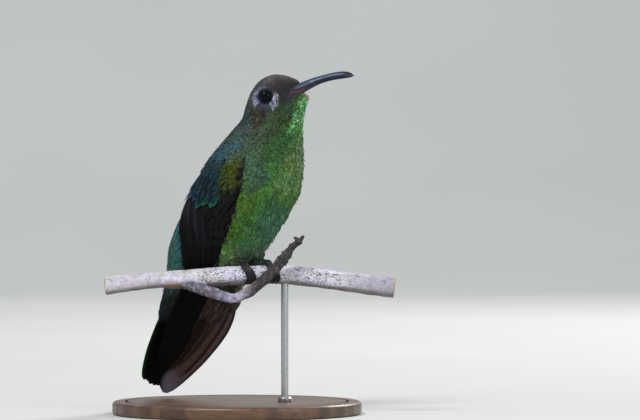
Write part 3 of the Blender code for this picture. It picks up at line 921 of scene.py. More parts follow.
def bead_shade(r):
    """Round scales with a bright middle and a dark rim, partly their own pattern and partly painted sheen on
    each scale and painted shade between them.
    """
    # the scales are brighter and glint more towards the throat's front: painted sheen
    bright = ramp(8.2, 5.5, r[:, 0]) * ramp(58, 26, from_breastbone(r))
    own = plumage(r) * (0.95 + 0.3 * bright)[:, None]
    flat = shade_with(own, tone_of(r, 0.10, 0.45 * bright + 0.2), 0.0, (60, 80, 56), 1.0, streak=0.03)

    def shade(s, w):
        lit = stripe(w, 0, 0.75) * hill(0.62, 0.84, 0.16, s)
        return flat(s, w) * (0.42 + 0.9 * lit)[..., None]

    return shade


def face_shade(r):
    own = plumage(r)
    _, ring, _ = head_marks(body_place(r), np.zeros(len(r)))
    own[(ring > 0.3) & (rng.uniform(0, 1, len(r)) < 0.26)] *= 0.45
    return shade_with(own, tone_of(r, 0.10), 0.2, (72, 66, 60), 1.05)


def scapular_shade(r):
    """Dark along the middle, blue-green at the edges, and turquoise at the tips of the last rows."""
    at = wing_u(r[:, 0])
    v, _ = wing_share(r)
    last = ramp(0.11, 0.125, at / (1 - 0.6 * np.clip(v - 0.4, 0, 1)))
    own = layered(SCAPULAR, ((17, 38, 50), ramp(0.45, 0.7, v)),
                  (np.array(TURQUOISE) / 1.5, last * ramp(0.58, 0.46, v) * 0.9))
    flat = shade_with(own * 1.5, tone_of(r, 0.06), 0.15, (30, 72, 72), 1.1, streak=0.03)
    dark, last = ramp(-0.03, 0.03, at)[:, None, None], last[:, None, None]

    def shade(s, w):
        centre = np.exp(-((w / 0.66) ** 4)) * (ramp(0.94, 0.76, s) * last + (1 - last)) * 0.95 * dark
        return toward(flat(s, w), linear(SCAPULAR_DARK), centre)

    return shade


def covert_shade(r):
    """Dark brown feathers, those nearest the bend of the wing tipped with gold."""
    u = wing_u(r[:, 0])
    v, _ = wing_share(r)
    gold = ramp(0.15, 0.08, u) * ramp(0.0, 0.05, v)
    patchy = 0.5 + 0.5 * rough(body_place(r), 3.0, 2, 61)
    streaks = 0.3 * hill(0.1, 0.3, 0.04, v) * ramp(0.5, 0.85, patchy) * ramp(0.25, 0.2, u)
    own = toward(COVERT_BROWN, plumage(r), gold * (0.75 + 0.25 * patchy) + streaks)
    return shade_with(own, tone_of(r, 0.10), 0.1, (34, 34, 16), 1.1, base=(26, 28, 12), base_end=0.2)


def undertail_shade(r):
    """Brown on one side of the shaft and dark on the other, like the tail's feathers."""
    own = toward((58, 43, 34), (60, 48, 48), ramp(60, 30, from_breastbone(r)))
    flat = shade_with(own * 1.15, tone_of(r, 0.08), 0.0, UNDERTAIL, 1.0, streak=0.04, base_end=-1)
    return lambda s, w: toward(flat(s, w), linear((10, 7, 7)), ramp(0.2, 0.5, w) * 0.9)


def thigh_shade(r):
    own = toward(THIGH, FLUFF, rng.uniform(0, 0.4, len(r)) * r[:, 0])
    return shade_with(own, tone_of(r + (RING["vent"], 0), 0.12), 0.2, (84, 92, 76))


def loose_rim_lit_barbs(ab):
    """How far each place belongs to the sides of the breast, where loose barbs stand off, painted pale as rim
    light shining through them.
    """
    return hill(14, 46, 14, from_breastbone(ab)) * ramp(6.5, 8.5, ab[:, 0])


def wisp_shade(r):
    # painted rim light: the wisps are paler and cream-tipped, most of all at the breast's sides
    own = toward(plumage(r), (190, 192, 160), 0.06 + 0.10 * loose_rim_lit_barbs(r))
    return shade_with(own, tone_of(r, 0.10), 0.25, (150, 156, 120))


def make_coat():
    ab = scatter(0.05, COAT_END)
    t = ab[:, 0]
    v, on_wing = wing_share(ab)
    u = wing_u(t)
    covered = (on_wing > 0.6) & (u > np.where(v < scapular_edge(u), 0.02, 0.045)) & (t < 14.6)
    ab = ab[(eye_distance(body_place(ab)) > LID_RADIUS + 0.05) & ~covered]
    t, bone = ab[:, 0], from_breastbone(ab)
    long = feather_length(ab)
    head, neck = t < 4.6, (t >= 4.6) & (t < 7.6)
    body = (t >= 7.6) & (t < 14.2)
    front, breast = bone < 56, body & (bone < 92)
    tail_root = (t >= 14.2) & ((bone > 84) | (t < 14.8))

    def group(name, chosen, ratio, *more, **others):
        coat(f"coat_{name}", ab[chosen], long[chosen], ratio * long[chosen], *more, **others)

    group("face", head & (bone >= 56) & (bone < 100), 0.48, SOFT, "plumage_dusky", face_shade,
          rise=(0.01, 0.05))
    group("crown", head & (bone >= 100), 0.50, SOFT, "plumage_dusky", plain(0.5, (98, 96, 96), 0.13),
          rise=(0.01, 0.06))
    group("throat", (head | neck) & front, 0.56, SMOOTH, "plumage_green", throat_shade,
          rise=(0.01, 0.06), fray=0.06)
    beads = scatter(0.9, 8.4, 0.42)
    beads = beads[from_breastbone(beads) < 60]
    size = feather_length(beads)
    coat("coat_throat_scales", beads, 0.85 * size, 0.62 * size, SMOOTH, "plumage_green", bead_shade,
         rise=(0.10, 0.16), fray=0.02, loose=0.08, shape=BEAD)
    group("neck", neck & ~front, 0.48, SMOOTH, "plumage_green", plain(0.25, (84, 96, 82)),
          rise=(0.01, 0.06))
    loosened = rng.uniform(0, 1, breast.sum()) ** 3 * (0.12 + 0.35 * ramp(12.2, 13.6, t[breast]))
    group("breast", breast, 0.58, SMOOTH, "plumage_green", plain(0.16, (92, 128, 78), 0.10, streak=0.035),
          raised=loosened, loose=0.11, fray=0.06, rise=(0.03, 0.08))
    group("back", body & (bone >= 92), 0.56, SMOOTH, "plumage_green",
          plain(0.15, (30, 44, 46), glow=1.2, streak=0.035), fray=0.05)
    group("tail_coverts", tail_root, 0.26, SOFT, "plumage_pale",
          plain(0.1, (38, 28, 24), 0.10, base=(20, 15, 14)), fray=0.08, loose=0.08, rise=(0.01, 0.05))
    rows = np.array([(t, radians(turn)) for t in (14.3, 14.75, 15.2) for turn in range(-40, 100, 9)])
    coat("coat_undertail", rows + rng.normal(0, (0.16, 0.01), rows.shape), 8.5, 2.4, SILKY,
         "plumage_pale", undertail_shade, fray=0.01, loose=0.02, rise=(0.10, 0.16), raised=0.15, shape=FINE)

    rows = wing_rows(0.11, 0.335, 0.036, 0.088, lambda u: -0.02, lambda u: 0.40)
    coat("coat_greater_coverts", rows, 5.4, 1.8, SILKY, "plumage_teal", covert_shade, fray=0.01,
         loose=0.04, shape=LONG)
    rows = wing_rows(0.0, 0.13, 0.015, 0.044, lambda u: np.interp(u, (0, 0.04), (0.06, -0.03)),
                     lambda u: scapular_edge(u) + 0.02)
    coat("coat_lesser_coverts", rows, 3.6, 1.05, SILKY, "plumage_teal", covert_shade, fray=0.05,
         raised=0.05, shape=LONG)
    rows = wing_rows(0.015, 0.14, 0.03, 0.118, lambda u: scapular_edge(u) - 0.06, lambda u: 0.93, sag=0.6,
                     stagger=0.0)
    coat("coat_scapulars", rows, 8.0, 2.8, SILKY, "plumage_teal", scapular_shade, fray=0.01, loose=0.03,
         raised=0.22, shape=LONG)

    # small puffs of feathers round the tops of the legs
    for side in SIDES:
        place = thigh_place(side)
        legs = grid_of(np.linspace(0.05, 0.74, 11), around(15)).reshape(-1, 2)
        legs = legs + legs[:, :1] * (0, 3) + rng.normal(0, 0.015, legs.shape)
        coat(f"coat_thigh_{side}", legs, 2.0, 0.95, SOFT, "plumage_pale", thigh_shade, fray=0.14,
             rise=(0.15, 0.35), place=place, lie=lambda r, loose: unit(place(r + (0.01, 0), 0) - place(r, 0)))

    # thin loose barbs that soften the coat's edge
    wisps = ab[(body | neck) & (bone < 100)]
    share = 0.5 + loose_rim_lit_barbs(wisps)
    wisps = wisps[rng.choice(len(wisps), WISPS, p=share / share.sum())] + rng.normal(0, 0.03, (WISPS, 2))
    standing = 0.10 + 0.35 * ramp(11.8, 13.4, wisps[:, 0]) + 0.45 * loose_rim_lit_barbs(wisps)
    lift = rng.uniform(0, 1, WISPS) ** 2 * standing
    size = feather_length(wisps)
    coat("coat_wisps", wisps, size, 0.07 * size, SOFT, "plumage_green", wisp_shade, rise=(0.06, 0.14),
         raised=lift, loose=0.2)


make_coat()

# ---- the skin ----


def loft(bm, sections, ring=False):
    """A tube through loops of points in millimetres, closed at its ends or joined into a ring."""
    loops = [[bm.verts.new(Vector(p) * MM) for p in section] for section in sections]
    for one, two in zip(loops, loops[1:] + loops[:1] * ring):
        for i in range(len(one)):
            bm.faces.new((one[i - 1], one[i], two[i], two[i - 1]))
    if not ring:
        bm.faces.new(loops[0])
        bm.faces.new(loops[-1])


def tube(bm, line, radii, sides):
    """A round tube with a radius for each point."""
    _, side, up = (axis[:, None] for axis in frames_along(line))
    turn = around(sides)[None, :, None]
    loft(bm, line[:, None] + radii[:, None, None] * (side * np.cos(turn) + up * np.sin(turn)))


def mesh_from(bm, name):
    bmesh.ops.recalc_face_normals(bm, faces=bm.faces)
    mesh = bpy.data.meshes.new(name)
    bm.to_mesh(mesh)
    bm.free()
    mesh.shade_smooth()
    return mesh


def remeshed(bm, name, voxel, smooth):
    """One closed skin round everything in bm."""
    raw = link(name, mesh_from(bm, name))
    step = raw.modifiers.new("remesh", "REMESH")
    step.mode = "VOXEL"
    step.voxel_size = voxel * MM
    step.use_smooth_shade = True
    raw.modifiers.new("smooth", "SMOOTH").iterations = smooth
    graph = bpy.context.evaluated_depsgraph_get()
    mesh = bpy.data.meshes.new_from_object(raw.evaluated_get(graph))
    mesh.name = name
    bpy.data.objects.remove(raw)
    mesh.shade_smooth()
    return mesh


def vectors(data, field):
    """Points or normals of a mesh as an array."""
    found = np.empty(len(data) * 3, np.float32)
    data.foreach_get(field, found)
    return found.reshape(-1, 3).astype(float)


def points_of(mesh):
    return vectors(mesh.vertices, "co") / MM


def make_skin():
    bm = bmesh.new()
    t = np.concatenate([[0.0], np.linspace(0.05, SKIN_END, 150)])
    ab = grid_of(t, around(64))
    loft(bm, body_place(ab, -depth_at(ab[..., 0])))
    for side in SIDES:
        line, s, _ = leg_line(side)
        tube(bm, line, thigh_radius(s) - 0.35 * (1 - s), 16)
    mesh = remeshed(bm, "skin", 0.42, 3)
    grid = grid_of(np.linspace(0, LAST_RING, 340), around(160)).reshape(-1, 2)
    tree = tree_of(body_place(grid, -depth_at(grid[:, 0])))
    found = grid[[tree.find(point)[1] for point in points_of(mesh)]]
    paint(mesh, linear(toward(plumage(found), DOWN, 0.35)))
    n = Nodes("skin_under_plumage", Roughness=0.8)
    n.bump(n.noise(1800, 3), 0.0001, 0.5)
    material = n.finish(n.painted(n.ramp(n.noise(900, 4), 0.3, 0.7, 0.75, 1.1)))
    put("skin", mesh, material, "plumage_green", ("head", "neck", "trunk", "leg_right", "leg_left"))


make_skin()

# ---- wings ----

# Columns across a long feather, from its leading edge, with the shaft a third of the way.
SHAFT = -0.33
QUILL = np.array((-1.0, -0.66, -0.38, SHAFT, -0.28, 0.0, 0.4, 0.75, 1.0))
TAIL_QUILL = np.array((-1.0, -0.86, -0.6, -0.39, SHAFT, -0.27, 0.0, 0.3, 0.55, 0.72, 1.0))
TIPS = np.array((1.0, 0.985, 0.955, 0.912, 0.862, 0.81, 0.757, 0.705, 0.655, 0.605, 0.555, 0.51, 0.465,
                 0.42))
WING_FEATHERS = len(TIPS)
TIP_SHARE = 0.1925  # of a wing feather's length


def strips(name, place, ab, height, y, run, s, w, colours, under, under_colours, thickness, slot, replaced):
    """Long feathers, each on its own strip of OFBake and its underside on another."""
    index = np.arange(len(ab))[:, None, None]
    patch = stack((index + 0.5 + 0.4 * w) / len(ab) / 2, 0.02 + 0.96 * s[:, None])
    mesh = vanes(name, place, ab, height, thickness, colours, patch, stack(y, run[..., None]), under,
                 under_colours, 0.5)
    put(name, mesh, GLOSSY, slot, replaced)


def make_wing(side):
    index = np.arange(WING_FEATHERS)[:, None]
    start, end = 0.03 + 0.006 * index, TIPS[:, None]
    width = np.interp(index, (0, 3, 8, 13), (3.4, 4.0, 4.6, 4.9))
    tone = np.exp(rng.normal(0, 0.08, WING_FEATHERS))
    s, w = np.linspace(0, 1, 22), QUILL
    u = start + (end - start) * s
    place = wing_place(side)
    middle, back, front = (place(stack(u, 0 * u + v), 0.0) for v in (0.5, 1, 0))
    span = length_of(back - middle) + length_of(front - middle)
    widest = np.minimum(width, span)
    tip = 1 - np.clip((s - 1 + TIP_SHARE) / TIP_SHARE, 0, 1) ** 2.2
    wide = widest * np.minimum(0.35 + 1.3 * s, 1.0) * (0.08 + 0.92 * tip)
    # the feather that ends at u lies on the trailing edge, and the rest share the width
    last = np.maximum(np.interp(-u, -TIPS, index[:, 0]), index + 0.01)
    share = np.minimum((index / np.maximum(last, 1.0)) ** 0.9, 1.0)
    first = np.maximum(span - width, 0) * share + (widest - wide) * 0.35
    # each column is a little shorter away from the shaft, so the tip is round
    shorter = 0.035 * (w - SHAFT) ** 2 * s[:, None] ** 3
    u_column = u[..., None] - (end - start)[..., None] * shorter
    v_column = (first[..., None] + wide[..., None] * (w + 1) / 2) / span[..., None]
    height = (0.46 + 0.045 * index * ramp(1.0, 0.45, u) + 0.012 * index)[..., None]
    height = height - 0.05 * (w + 1) * wide[..., None] / 3
    height = height + 0.05 * (w == SHAFT) * (1 - s[:, None]) ** 0.5
    upper = ramp(0.75, 0.35, s[:, None]) * ramp(0.3, 0.8, index[..., None] / 13.0)
    pale = np.array((0.2, 1.0, 0.3))[index % 3][..., None]
    # the pale leading edges and darker trailing halves: partly the feathers' own edges, partly painted
    # highlight and painted shade at the steps where each feather overlaps the next
    colours = layered(
        (4, 3.5, 4.5), ((19, 16, 23), upper), ((3, 3, 4), ramp(0.0, 0.9, w)),
        ((44, 39, 53), ramp(-0.2, -1.0, w) * (0.25 + 0.75 * upper) * pale),
        ((16, 13, 17), stripe(w, SHAFT, 0.04) * 0.4),
    )
    strips(f"wing_{side}_flight_feathers", place, stack(u_column, v_column), height,
           (w - SHAFT) * wide[..., None] / 2, lengths_along(middle), s, w,
           linear(colours * tone[:, None, None, None]), [1, 3, 5, 7], None, 0.07, "flight_feather",
           (f"wing_{side}_flight", f"wing_{side}_coverts"))


for side in SIDES:
    make_wing(side)

# ---- tail ----

TAIL_FEATHERS = 10
# (along, across) of the shafts of the near outermost, the middle and the far outermost tail feather.
TAIL_NEAR = np.array((
    (0.0, 0.30), (0.13, 0.17), (0.26, 0.12), (0.39, 0.11), (0.52, 0.11), (0.65, 0.11), (0.78, 0.11),
    (0.90, 0.12), (1.01, 0.15),
))
TAIL_MIDDLE = np.array((
    (0.0, 0.48), (0.13, 0.48), (0.26, 0.48), (0.39, 0.485), (0.52, 0.49), (0.65, 0.50), (0.78, 0.51),
    (0.90, 0.51), (1.0, 0.47),
))
TAIL_FAR = np.array((
    (0.0, 0.70), (0.14, 0.85), (0.28, 0.895), (0.43, 0.905), (0.58, 0.90), (0.73, 0.885), (0.87, 0.85),
    (0.96, 0.74), (1.01, 0.56),
))
# Where the feathers end, from the near side to the far side.
TAIL_SIDES = (-1, -0.8, -0.6, -0.33, 0, 0.4, 1)
TAIL_REACH = (0.965, 0.945, 0.955, 0.955, 0.95, 0.97, 1.0)
TAIL_WIDTH = 5.6


def make_tail():
    from_middle = (np.arange(TAIL_FEATHERS) - 4.5) / 4.5
    far = np.abs(from_middle)[:, None, None]
    tone = np.exp(rng.normal(0, 0.06, TAIL_FEATHERS))
    s, w = np.linspace(0, 1, 34), TAIL_QUILL
    centre = []
    for f, reach in zip(from_middle, np.interp(from_middle, TAIL_SIDES, TAIL_REACH)):
        path = TAIL_MIDDLE + ((TAIL_FAR if f > 0 else TAIL_NEAR) - TAIL_MIDDLE) * abs(f)
        centre.append(spline(path * (reach, 1), s * (len(path) - 1)))
    centre = np.array(centre)
    pa, pb, normal = tangents(tail_place, centre)
    line = tail_place(centre)
    side = np.cross(normal, unit(np.gradient(line, axis=1)))
    side = side * np.sign(dot(side, pb))[..., None]
    run = lengths_along(line)
    left = (run[:, -1:] - run) / (0.6 * TAIL_WIDTH)
    outline = np.minimum(0.3 + 1.6 * s, 1.0) * np.sqrt(np.clip(1 - np.clip(1 - left, 0, 1) ** 2, 0.004, 1))
    # the narrow vane lies on the outer side of each shaft
    y = -np.sign(from_middle)[:, None, None] * (w - SHAFT) * (TAIL_WIDTH / 2 * outline)[..., None]
    ab = centre[:, :, None] + y[..., None] * per_mm(pa, pb, side)[:, :, None]
    height = 0.42 * far - 0.2 - 0.045 * np.abs(w - SHAFT) + 0 * y
    height = height + 0.07 * (w == SHAFT) * (1 - 0.7 * s[:, None])
    along = s[:, None]
    outermost = ramp(0.8, 1.0, far)
    near = ramp(-0.1, -0.34, from_middle)[:, None, None]
    shaft_light = stripe(w, SHAFT, 0.035) * 0.5
    below = layered(
        (58, 42, 33),
        ((98, 78, 76), ramp(0.6, 1.0, far)),
        ((12, 8, 9), stripe(w, -0.86, 0.1) * 0.85),
        ((9, 6, 6), ramp(0.84, 0.94, w) * 0.92),
        ((12, 8, 8), stripe(w, 0.55, 0.09) * 0.8 * ramp(0.9, 0.7, far)),
        ((12, 8, 9), stripe(w, 0, 0.1) * 0.8 * outermost * ramp(0.9, 0.8, along)),
        ((84, 66, 61), ramp(0.2, 0.3, w) * ramp(0.96, 0.84, w) * outermost * 0.8),
        ((112, 98, 102), ramp(-0.88, -0.97, w) * ramp(0.7, 1.0, far)),
        ((106, 98, 112), ramp(0.84, 0.93, along) * ramp(0.3, 0.9, far) * 0.9),
        ((124, 108, 100), shaft_light * far),
        ((3, 4, 4), near),
        ((14, 44, 12), near * ramp(-0.3, -0.8, w) * far * ramp(0.3, 0.6, along)),
        ((14, 30, 36), near * ramp(-0.4, -0.9, w) * far * ramp(0.5, 0.2, along)),
    )
    above = layered((24, 44, 42), ((16, 22, 40), ramp(0.6, 0.9, along) * 0.8),
                    ((58, 74, 62), stripe(w, SHAFT, 0.05) * 0.4), ((44, 38, 46), far * 0.5))
    below, above = (linear(c * tone[:, None, None, None]) for c in (below, above))
    strips("tail_feathers", tail_place, ab, height, y, run, s, w, below, [1, 4, 6, 9], above, 0.08,
           "tail_feather", ("tail",))


make_tail()

# ---- bill ----


def mandible(node, low, high, end, colour, material, slot):
    """One half of the bill, between the shares low and high of its half depth."""
    t = end * (1 - (1 - np.linspace(0.06, 1, 90)) ** 1.25)
    x, z, depth = spline(BILL, t).T
    slope = spline(BILL, np.minimum(t + 0.05, 8)) - spline(BILL, np.maximum(t - 0.05, 0))
    along = unit(slope[:, :2])
    up = stack(-along[:, 1], 0 * t, along[:, 0])
    centre = stack(x, bill_axis_y(x), z)
    half = 0.9 * depth + 1.9 * ramp(20.5, 13.5, x) ** 1.2
    sides = 17
    right = np.linspace(*np.arcsin(np.clip((low, high), -1, 1)), sides)
    turns = np.concatenate([right, pi - right[::-1]])
    # the top or the bottom of the bill is one point, not two
    turns = np.delete(turns, sides if high >= 1 else -1)
    rise, reach = np.sin(turns), np.cos(turns)
    shape = np.sign(rise) * np.abs(rise) ** (1.12 if high >= 1 else 1.0)
    # the cutting edges swell a little, and a groove runs from the nostril
    aside = half[:, None] * reach * (1 + 0.05 * stripe(rise, 0, 0.2))
    if high >= 1:
        aside = aside - 0.14 * stripe(rise, 0.42, 0.13) * ramp(24.5, 21, x)[:, None] * np.sign(reach)
    bm = bmesh.new()
    loft(bm, centre[:, None] + up[:, None] * (depth[:, None] * shape)[..., None] + ACROSS * aside[..., None])
    mesh = mesh_from(bm, f"{node}_horn")
    mesh.set_sharp_from_angle(angle=radians(50))
    paint(mesh, linear(colour(points_of(mesh)[:, 0])))
    put(f"{node}_horn", mesh, material, slot, (node,))


def make_bill():
    n = Nodes("bill_horn", Roughness=0.36, Specular_Tint=(0.45, 0.62, 1.0), Specular_IOR_Level=0.6)
    streak = n.noise(1, 4, 0.6, n.place((260, 2600, 2600)))
    n.bump(streak, 0.00003, 0.5)
    colour = n.painted(n.ramp(streak, 0.3, 0.7, 0.7, 1.15))
    horn = n.finish(colour, n.ramp(n.noise(600, 3), 0.3, 0.7, 0.32, 0.44))

    def upper(x):
        return layered((30, 34, 44), ((24, 25, 30), ramp(30, 35, x)),
                       ((66, 52, 50), ramp(17.5, 14.5, x) * 0.5))

    def lower(x):
        return layered((14, 14, 17), ((44, 29, 27), ramp(26.5, 22.5, x)),
                       ((96, 63, 56), ramp(22.5, 17.5, x)))

    mandible("bill_upper", -0.08, 1, 8.0, upper, horn, "bill_horn")
    mandible("bill_lower", -1, -0.16, 7.6, lower, horn, "bill_flesh")


make_bill()

# ---- eyes ----


def make_eyes():
    n = Nodes("eye_glassy", Roughness=0.05, Specular_IOR_Level=0.14, Specular_Tint=(0.6, 0.75, 1.0))
    glass = n.finish(n.painted(n.ramp(n.noise(2600, 3), 0.3, 0.7, 0.8, 1.2)))
    n = Nodes("eyelid", Roughness=0.7, Specular_IOR_Level=0.25)
    n.bump(n.noise(3200, 3), 0.00006, 0.6)
    crease = n.ramp(n.noise(2400, 3), 0.3, 0.7, 0.6, 1.2)
    grey = n.add("CombineColor", {0: crease, 1: crease, 2: crease})
    lid = n.finish(n.mix(1.0, (0.012, 0.012, 0.015), grey, "MULTIPLY"))
    for side, eye in EYES.items():
        gaze = GAZE[side]
        right = unit(np.cross(gaze, (0, 0, 1.0)))
        up = np.cross(right, gaze)
        bm = bmesh.new()
        bmesh.ops.create_uvsphere(bm, u_segments=48, v_segments=36, radius=1.0)
        for vert in bm.verts:
            a, b, c = vert.co
            bulge = 1 + 0.035 * float(ramp(0.55, 1.0, c))
            vert.co = Vector((eye + EYE_RADIUS * bulge * (right * a + up * b + gaze * c)) * MM)
        mesh = mesh_from(bm, f"eyeball_{side}")
        facing = dot(unit(points_of(mesh) - eye), gaze)
        paint(mesh, linear(layered((16, 13, 14), ((3, 3, 5), ramp(0.80, 0.86, facing)),
                                   ((8, 7, 8), ramp(0.6, 0.45, facing)))))
        put(f"eyeball_{side}", mesh, glass, "eye", (f"eye_{side}",))
        # the lids: a thin ring with folds, a little wider in front and behind
        turns = around(72)[:, None]
        ring = 2.06 + 0.07 * np.abs(np.cos(turns)) ** 3
        flat = right * ring * np.cos(turns) + up * 0.97 * ring * np.sin(turns)
        fold = (0.2 + 0.03 * np.sin(9 * turns) + 0.02 * np.sin(23 * turns))[..., None]
        q = around(10)[:, None]
        line = (eye + flat + gaze * 0.82)[:, None]
        bm = bmesh.new()
        loft(bm, line + unit(flat)[:, None] * 0.26 * np.cos(q) + gaze * fold * np.sin(q), ring=True)
        put(f"eyelids_{side}", mesh_from(bm, f"eyelids_{side}"), lid, "plumage_dusky")


make_eyes()

# ---- feet ----

TOE_RADIUS = 0.6
TOE_REACH = radians(152)
HALLUX_REACH = radians(-104)
TOES = ((-0.6, TOE_REACH), (0.35, TOE_REACH), (1.3, TOE_REACH), (0.3, HALLUX_REACH))
# How far the toes lean along the branch, at equal steps from the palm to the claws.
TOE_LEAN = np.array((-0.9, 0.1, 1.3, 1.7, 0.5))[:, None]
CLAW_START, CLAW_END = 0.78, 1.06


def toe_line(foot_x, splay, reach, share, off):
    """A toe's middle at shares of its reach round the branch, off millimetres above the bark."""
    x = foot_x + splay * np.sin(pi / 2 * np.minimum(1.0, 1.6 * share))
    x = x + spline(TOE_LEAN, np.clip(share, 0, 1) * 4)[..., 0]
    centre, radius = branch_axis(x)
    out, angle = radius + off, reach * share
    return centre + stack(0 * x, -out * np.sin(angle), out * np.cos(angle))


def make_foot(side, skin, horn):
    bm = bmesh.new()
    claws = bmesh.new()
    for splay, reach in TOES:
        share = np.linspace(0.0, 0.84, 46)
        line = toe_line(FEET[side], splay, reach, share, TOE_RADIUS * (1.12 - 0.25 * share))
        joints = 0.07 * np.cos(2 * pi * share / 0.25)
        tube(bm, line, TOE_RADIUS * (1.12 - 0.32 * share) * (1 + joints), 14)
        share = np.linspace(CLAW_START, CLAW_END, 24)
        off = 0.42 + 0.3 * ramp(0.78, 0.88, share) - 0.5 * ramp(0.9, 1.06, share)
        grow = (share - CLAW_START) / (CLAW_END - CLAW_START)
        line = toe_line(FEET[side], splay, reach, share, off)
        tube(claws, line, np.maximum(0.34 * np.clip(1 - grow, 0, 1) ** 0.7, 0.03), 10)
    line, s, palm = leg_line(side, 16)
    tube(bm, line[7:], 0.6 + 0.1 * s[7:], 14)
    ball = bmesh.ops.create_uvsphere(bm, u_segments=20, v_segments=14, radius=0.95 * MM)
    for vert in ball["verts"]:
        vert.co = vert.co + Vector(palm * MM)
    put(f"foot_{side}_skin", remeshed(bm, f"foot_{side}_skin", 0.13, 3), skin, "foot_skin",
        (f"foot_{side}",))
    put(f"foot_{side}_claws", mesh_from(claws, f"foot_{side}_claws"), horn, "foot_skin")


def make_feet():
    n = Nodes("foot_scales", Roughness=0.55, Specular_IOR_Level=0.3)
    cells = n.add("TexVoronoi", {"Vector": n.place(), "Scale": 2100.0, "Randomness": 0.8},
                  feature="DISTANCE_TO_EDGE")
    plates = n.ramp(cells, 0.02, 0.16)
    dust = n.math("MULTIPLY", n.ramp(n.noise(700, 3), 0.4, 0.7), 0.5)
    colour = n.mix(plates, (0.003, 0.003, 0.004), (0.012, 0.011, 0.014))
    n.bump(plates, 0.00008, 0.8)
    skin = n.finish(n.mix(dust, colour, (0.026, 0.024, 0.029)), n.ramp(plates, 0, 1, 0.62, 0.42))
    n = Nodes("claw_horn", Roughness=0.3)
    horn = n.finish(n.mix(n.ramp(n.noise(1500, 2), 0.3, 0.7), (0.008, 0.008, 0.010), (0.03, 0.027, 0.028)))
    for side in SIDES:
        make_foot(side, skin, horn)


make_feet()

# ---- perch ----

KNOTS_ON_TWIG = (0.42, 0.53, 0.61, 0.7, 0.79, 0.9)
# Stubs of old buds on the twig: where, which way, how big.
BUDS = ((0.62, (0.2, -0.5, 0.9), 0.55), (0.72, (0.9, -0.2, -0.5), 0.5), (0.80, (-0.9, -0.3, 0.4), 0.6),
        (0.985, (0.7, 0, 0.9), 0.75), (0.99, (-0.7, -0.2, 0.5), 0.6))
FORK = np.array((-18.5, PERCH_Y - 1.5, 38.6))


def smooth_line(rows, steps):
    found = spline(rows, np.linspace(0, len(rows) - 1, steps))
    return found[:, :3] + (0, PERCH_Y, 0), found[:, 3]


def clearance(p, line, radius):
    """How far each point is outside a round line."""
    parts = np.array_split(p, len(p) // 4000 + 1)
    return np.concatenate([
        (length_of(part[:, None] - line) - radius).min(1) for part in parts])


def bark_material():
    n = Nodes("bark_pale", Roughness=0.85)
    long_at = n.place((0.55, 1, 1))
    flakes = n.ramp(n.noise(1500, 5, 0.65, long_at), 0.44, 0.5)
    cracks = n.ramp(n.noise(620, 6, 0.7, Distortion=0.6), 0.42, 0.36)
    low = n.ramp(n.attribute("specks", "Fac"), 0, 1, 0.64, 0.535)
    speck = n.ramp(n.ramp(n.noise(2700, 4, 0.65, long_at), low, 0.66), 0.0, 0.25)
    colour = n.painted(n.ramp(n.noise(300, 5, 0.6), 0.3, 0.7, 0.8, 1.08))
    colour = n.mix(n.math("MULTIPLY", cracks, 0.45), colour, (0.16, 0.14, 0.13))
    colour = n.mix(n.math("MULTIPLY", speck, 0.92), colour, (0.035, 0.03, 0.032))
    height = n.math("SUBTRACT", n.math("MULTIPLY", flakes, 0.5), n.math("ADD", speck, cracks))
    n.bump(height, 0.00018, 0.7)
    return n.finish(colour)


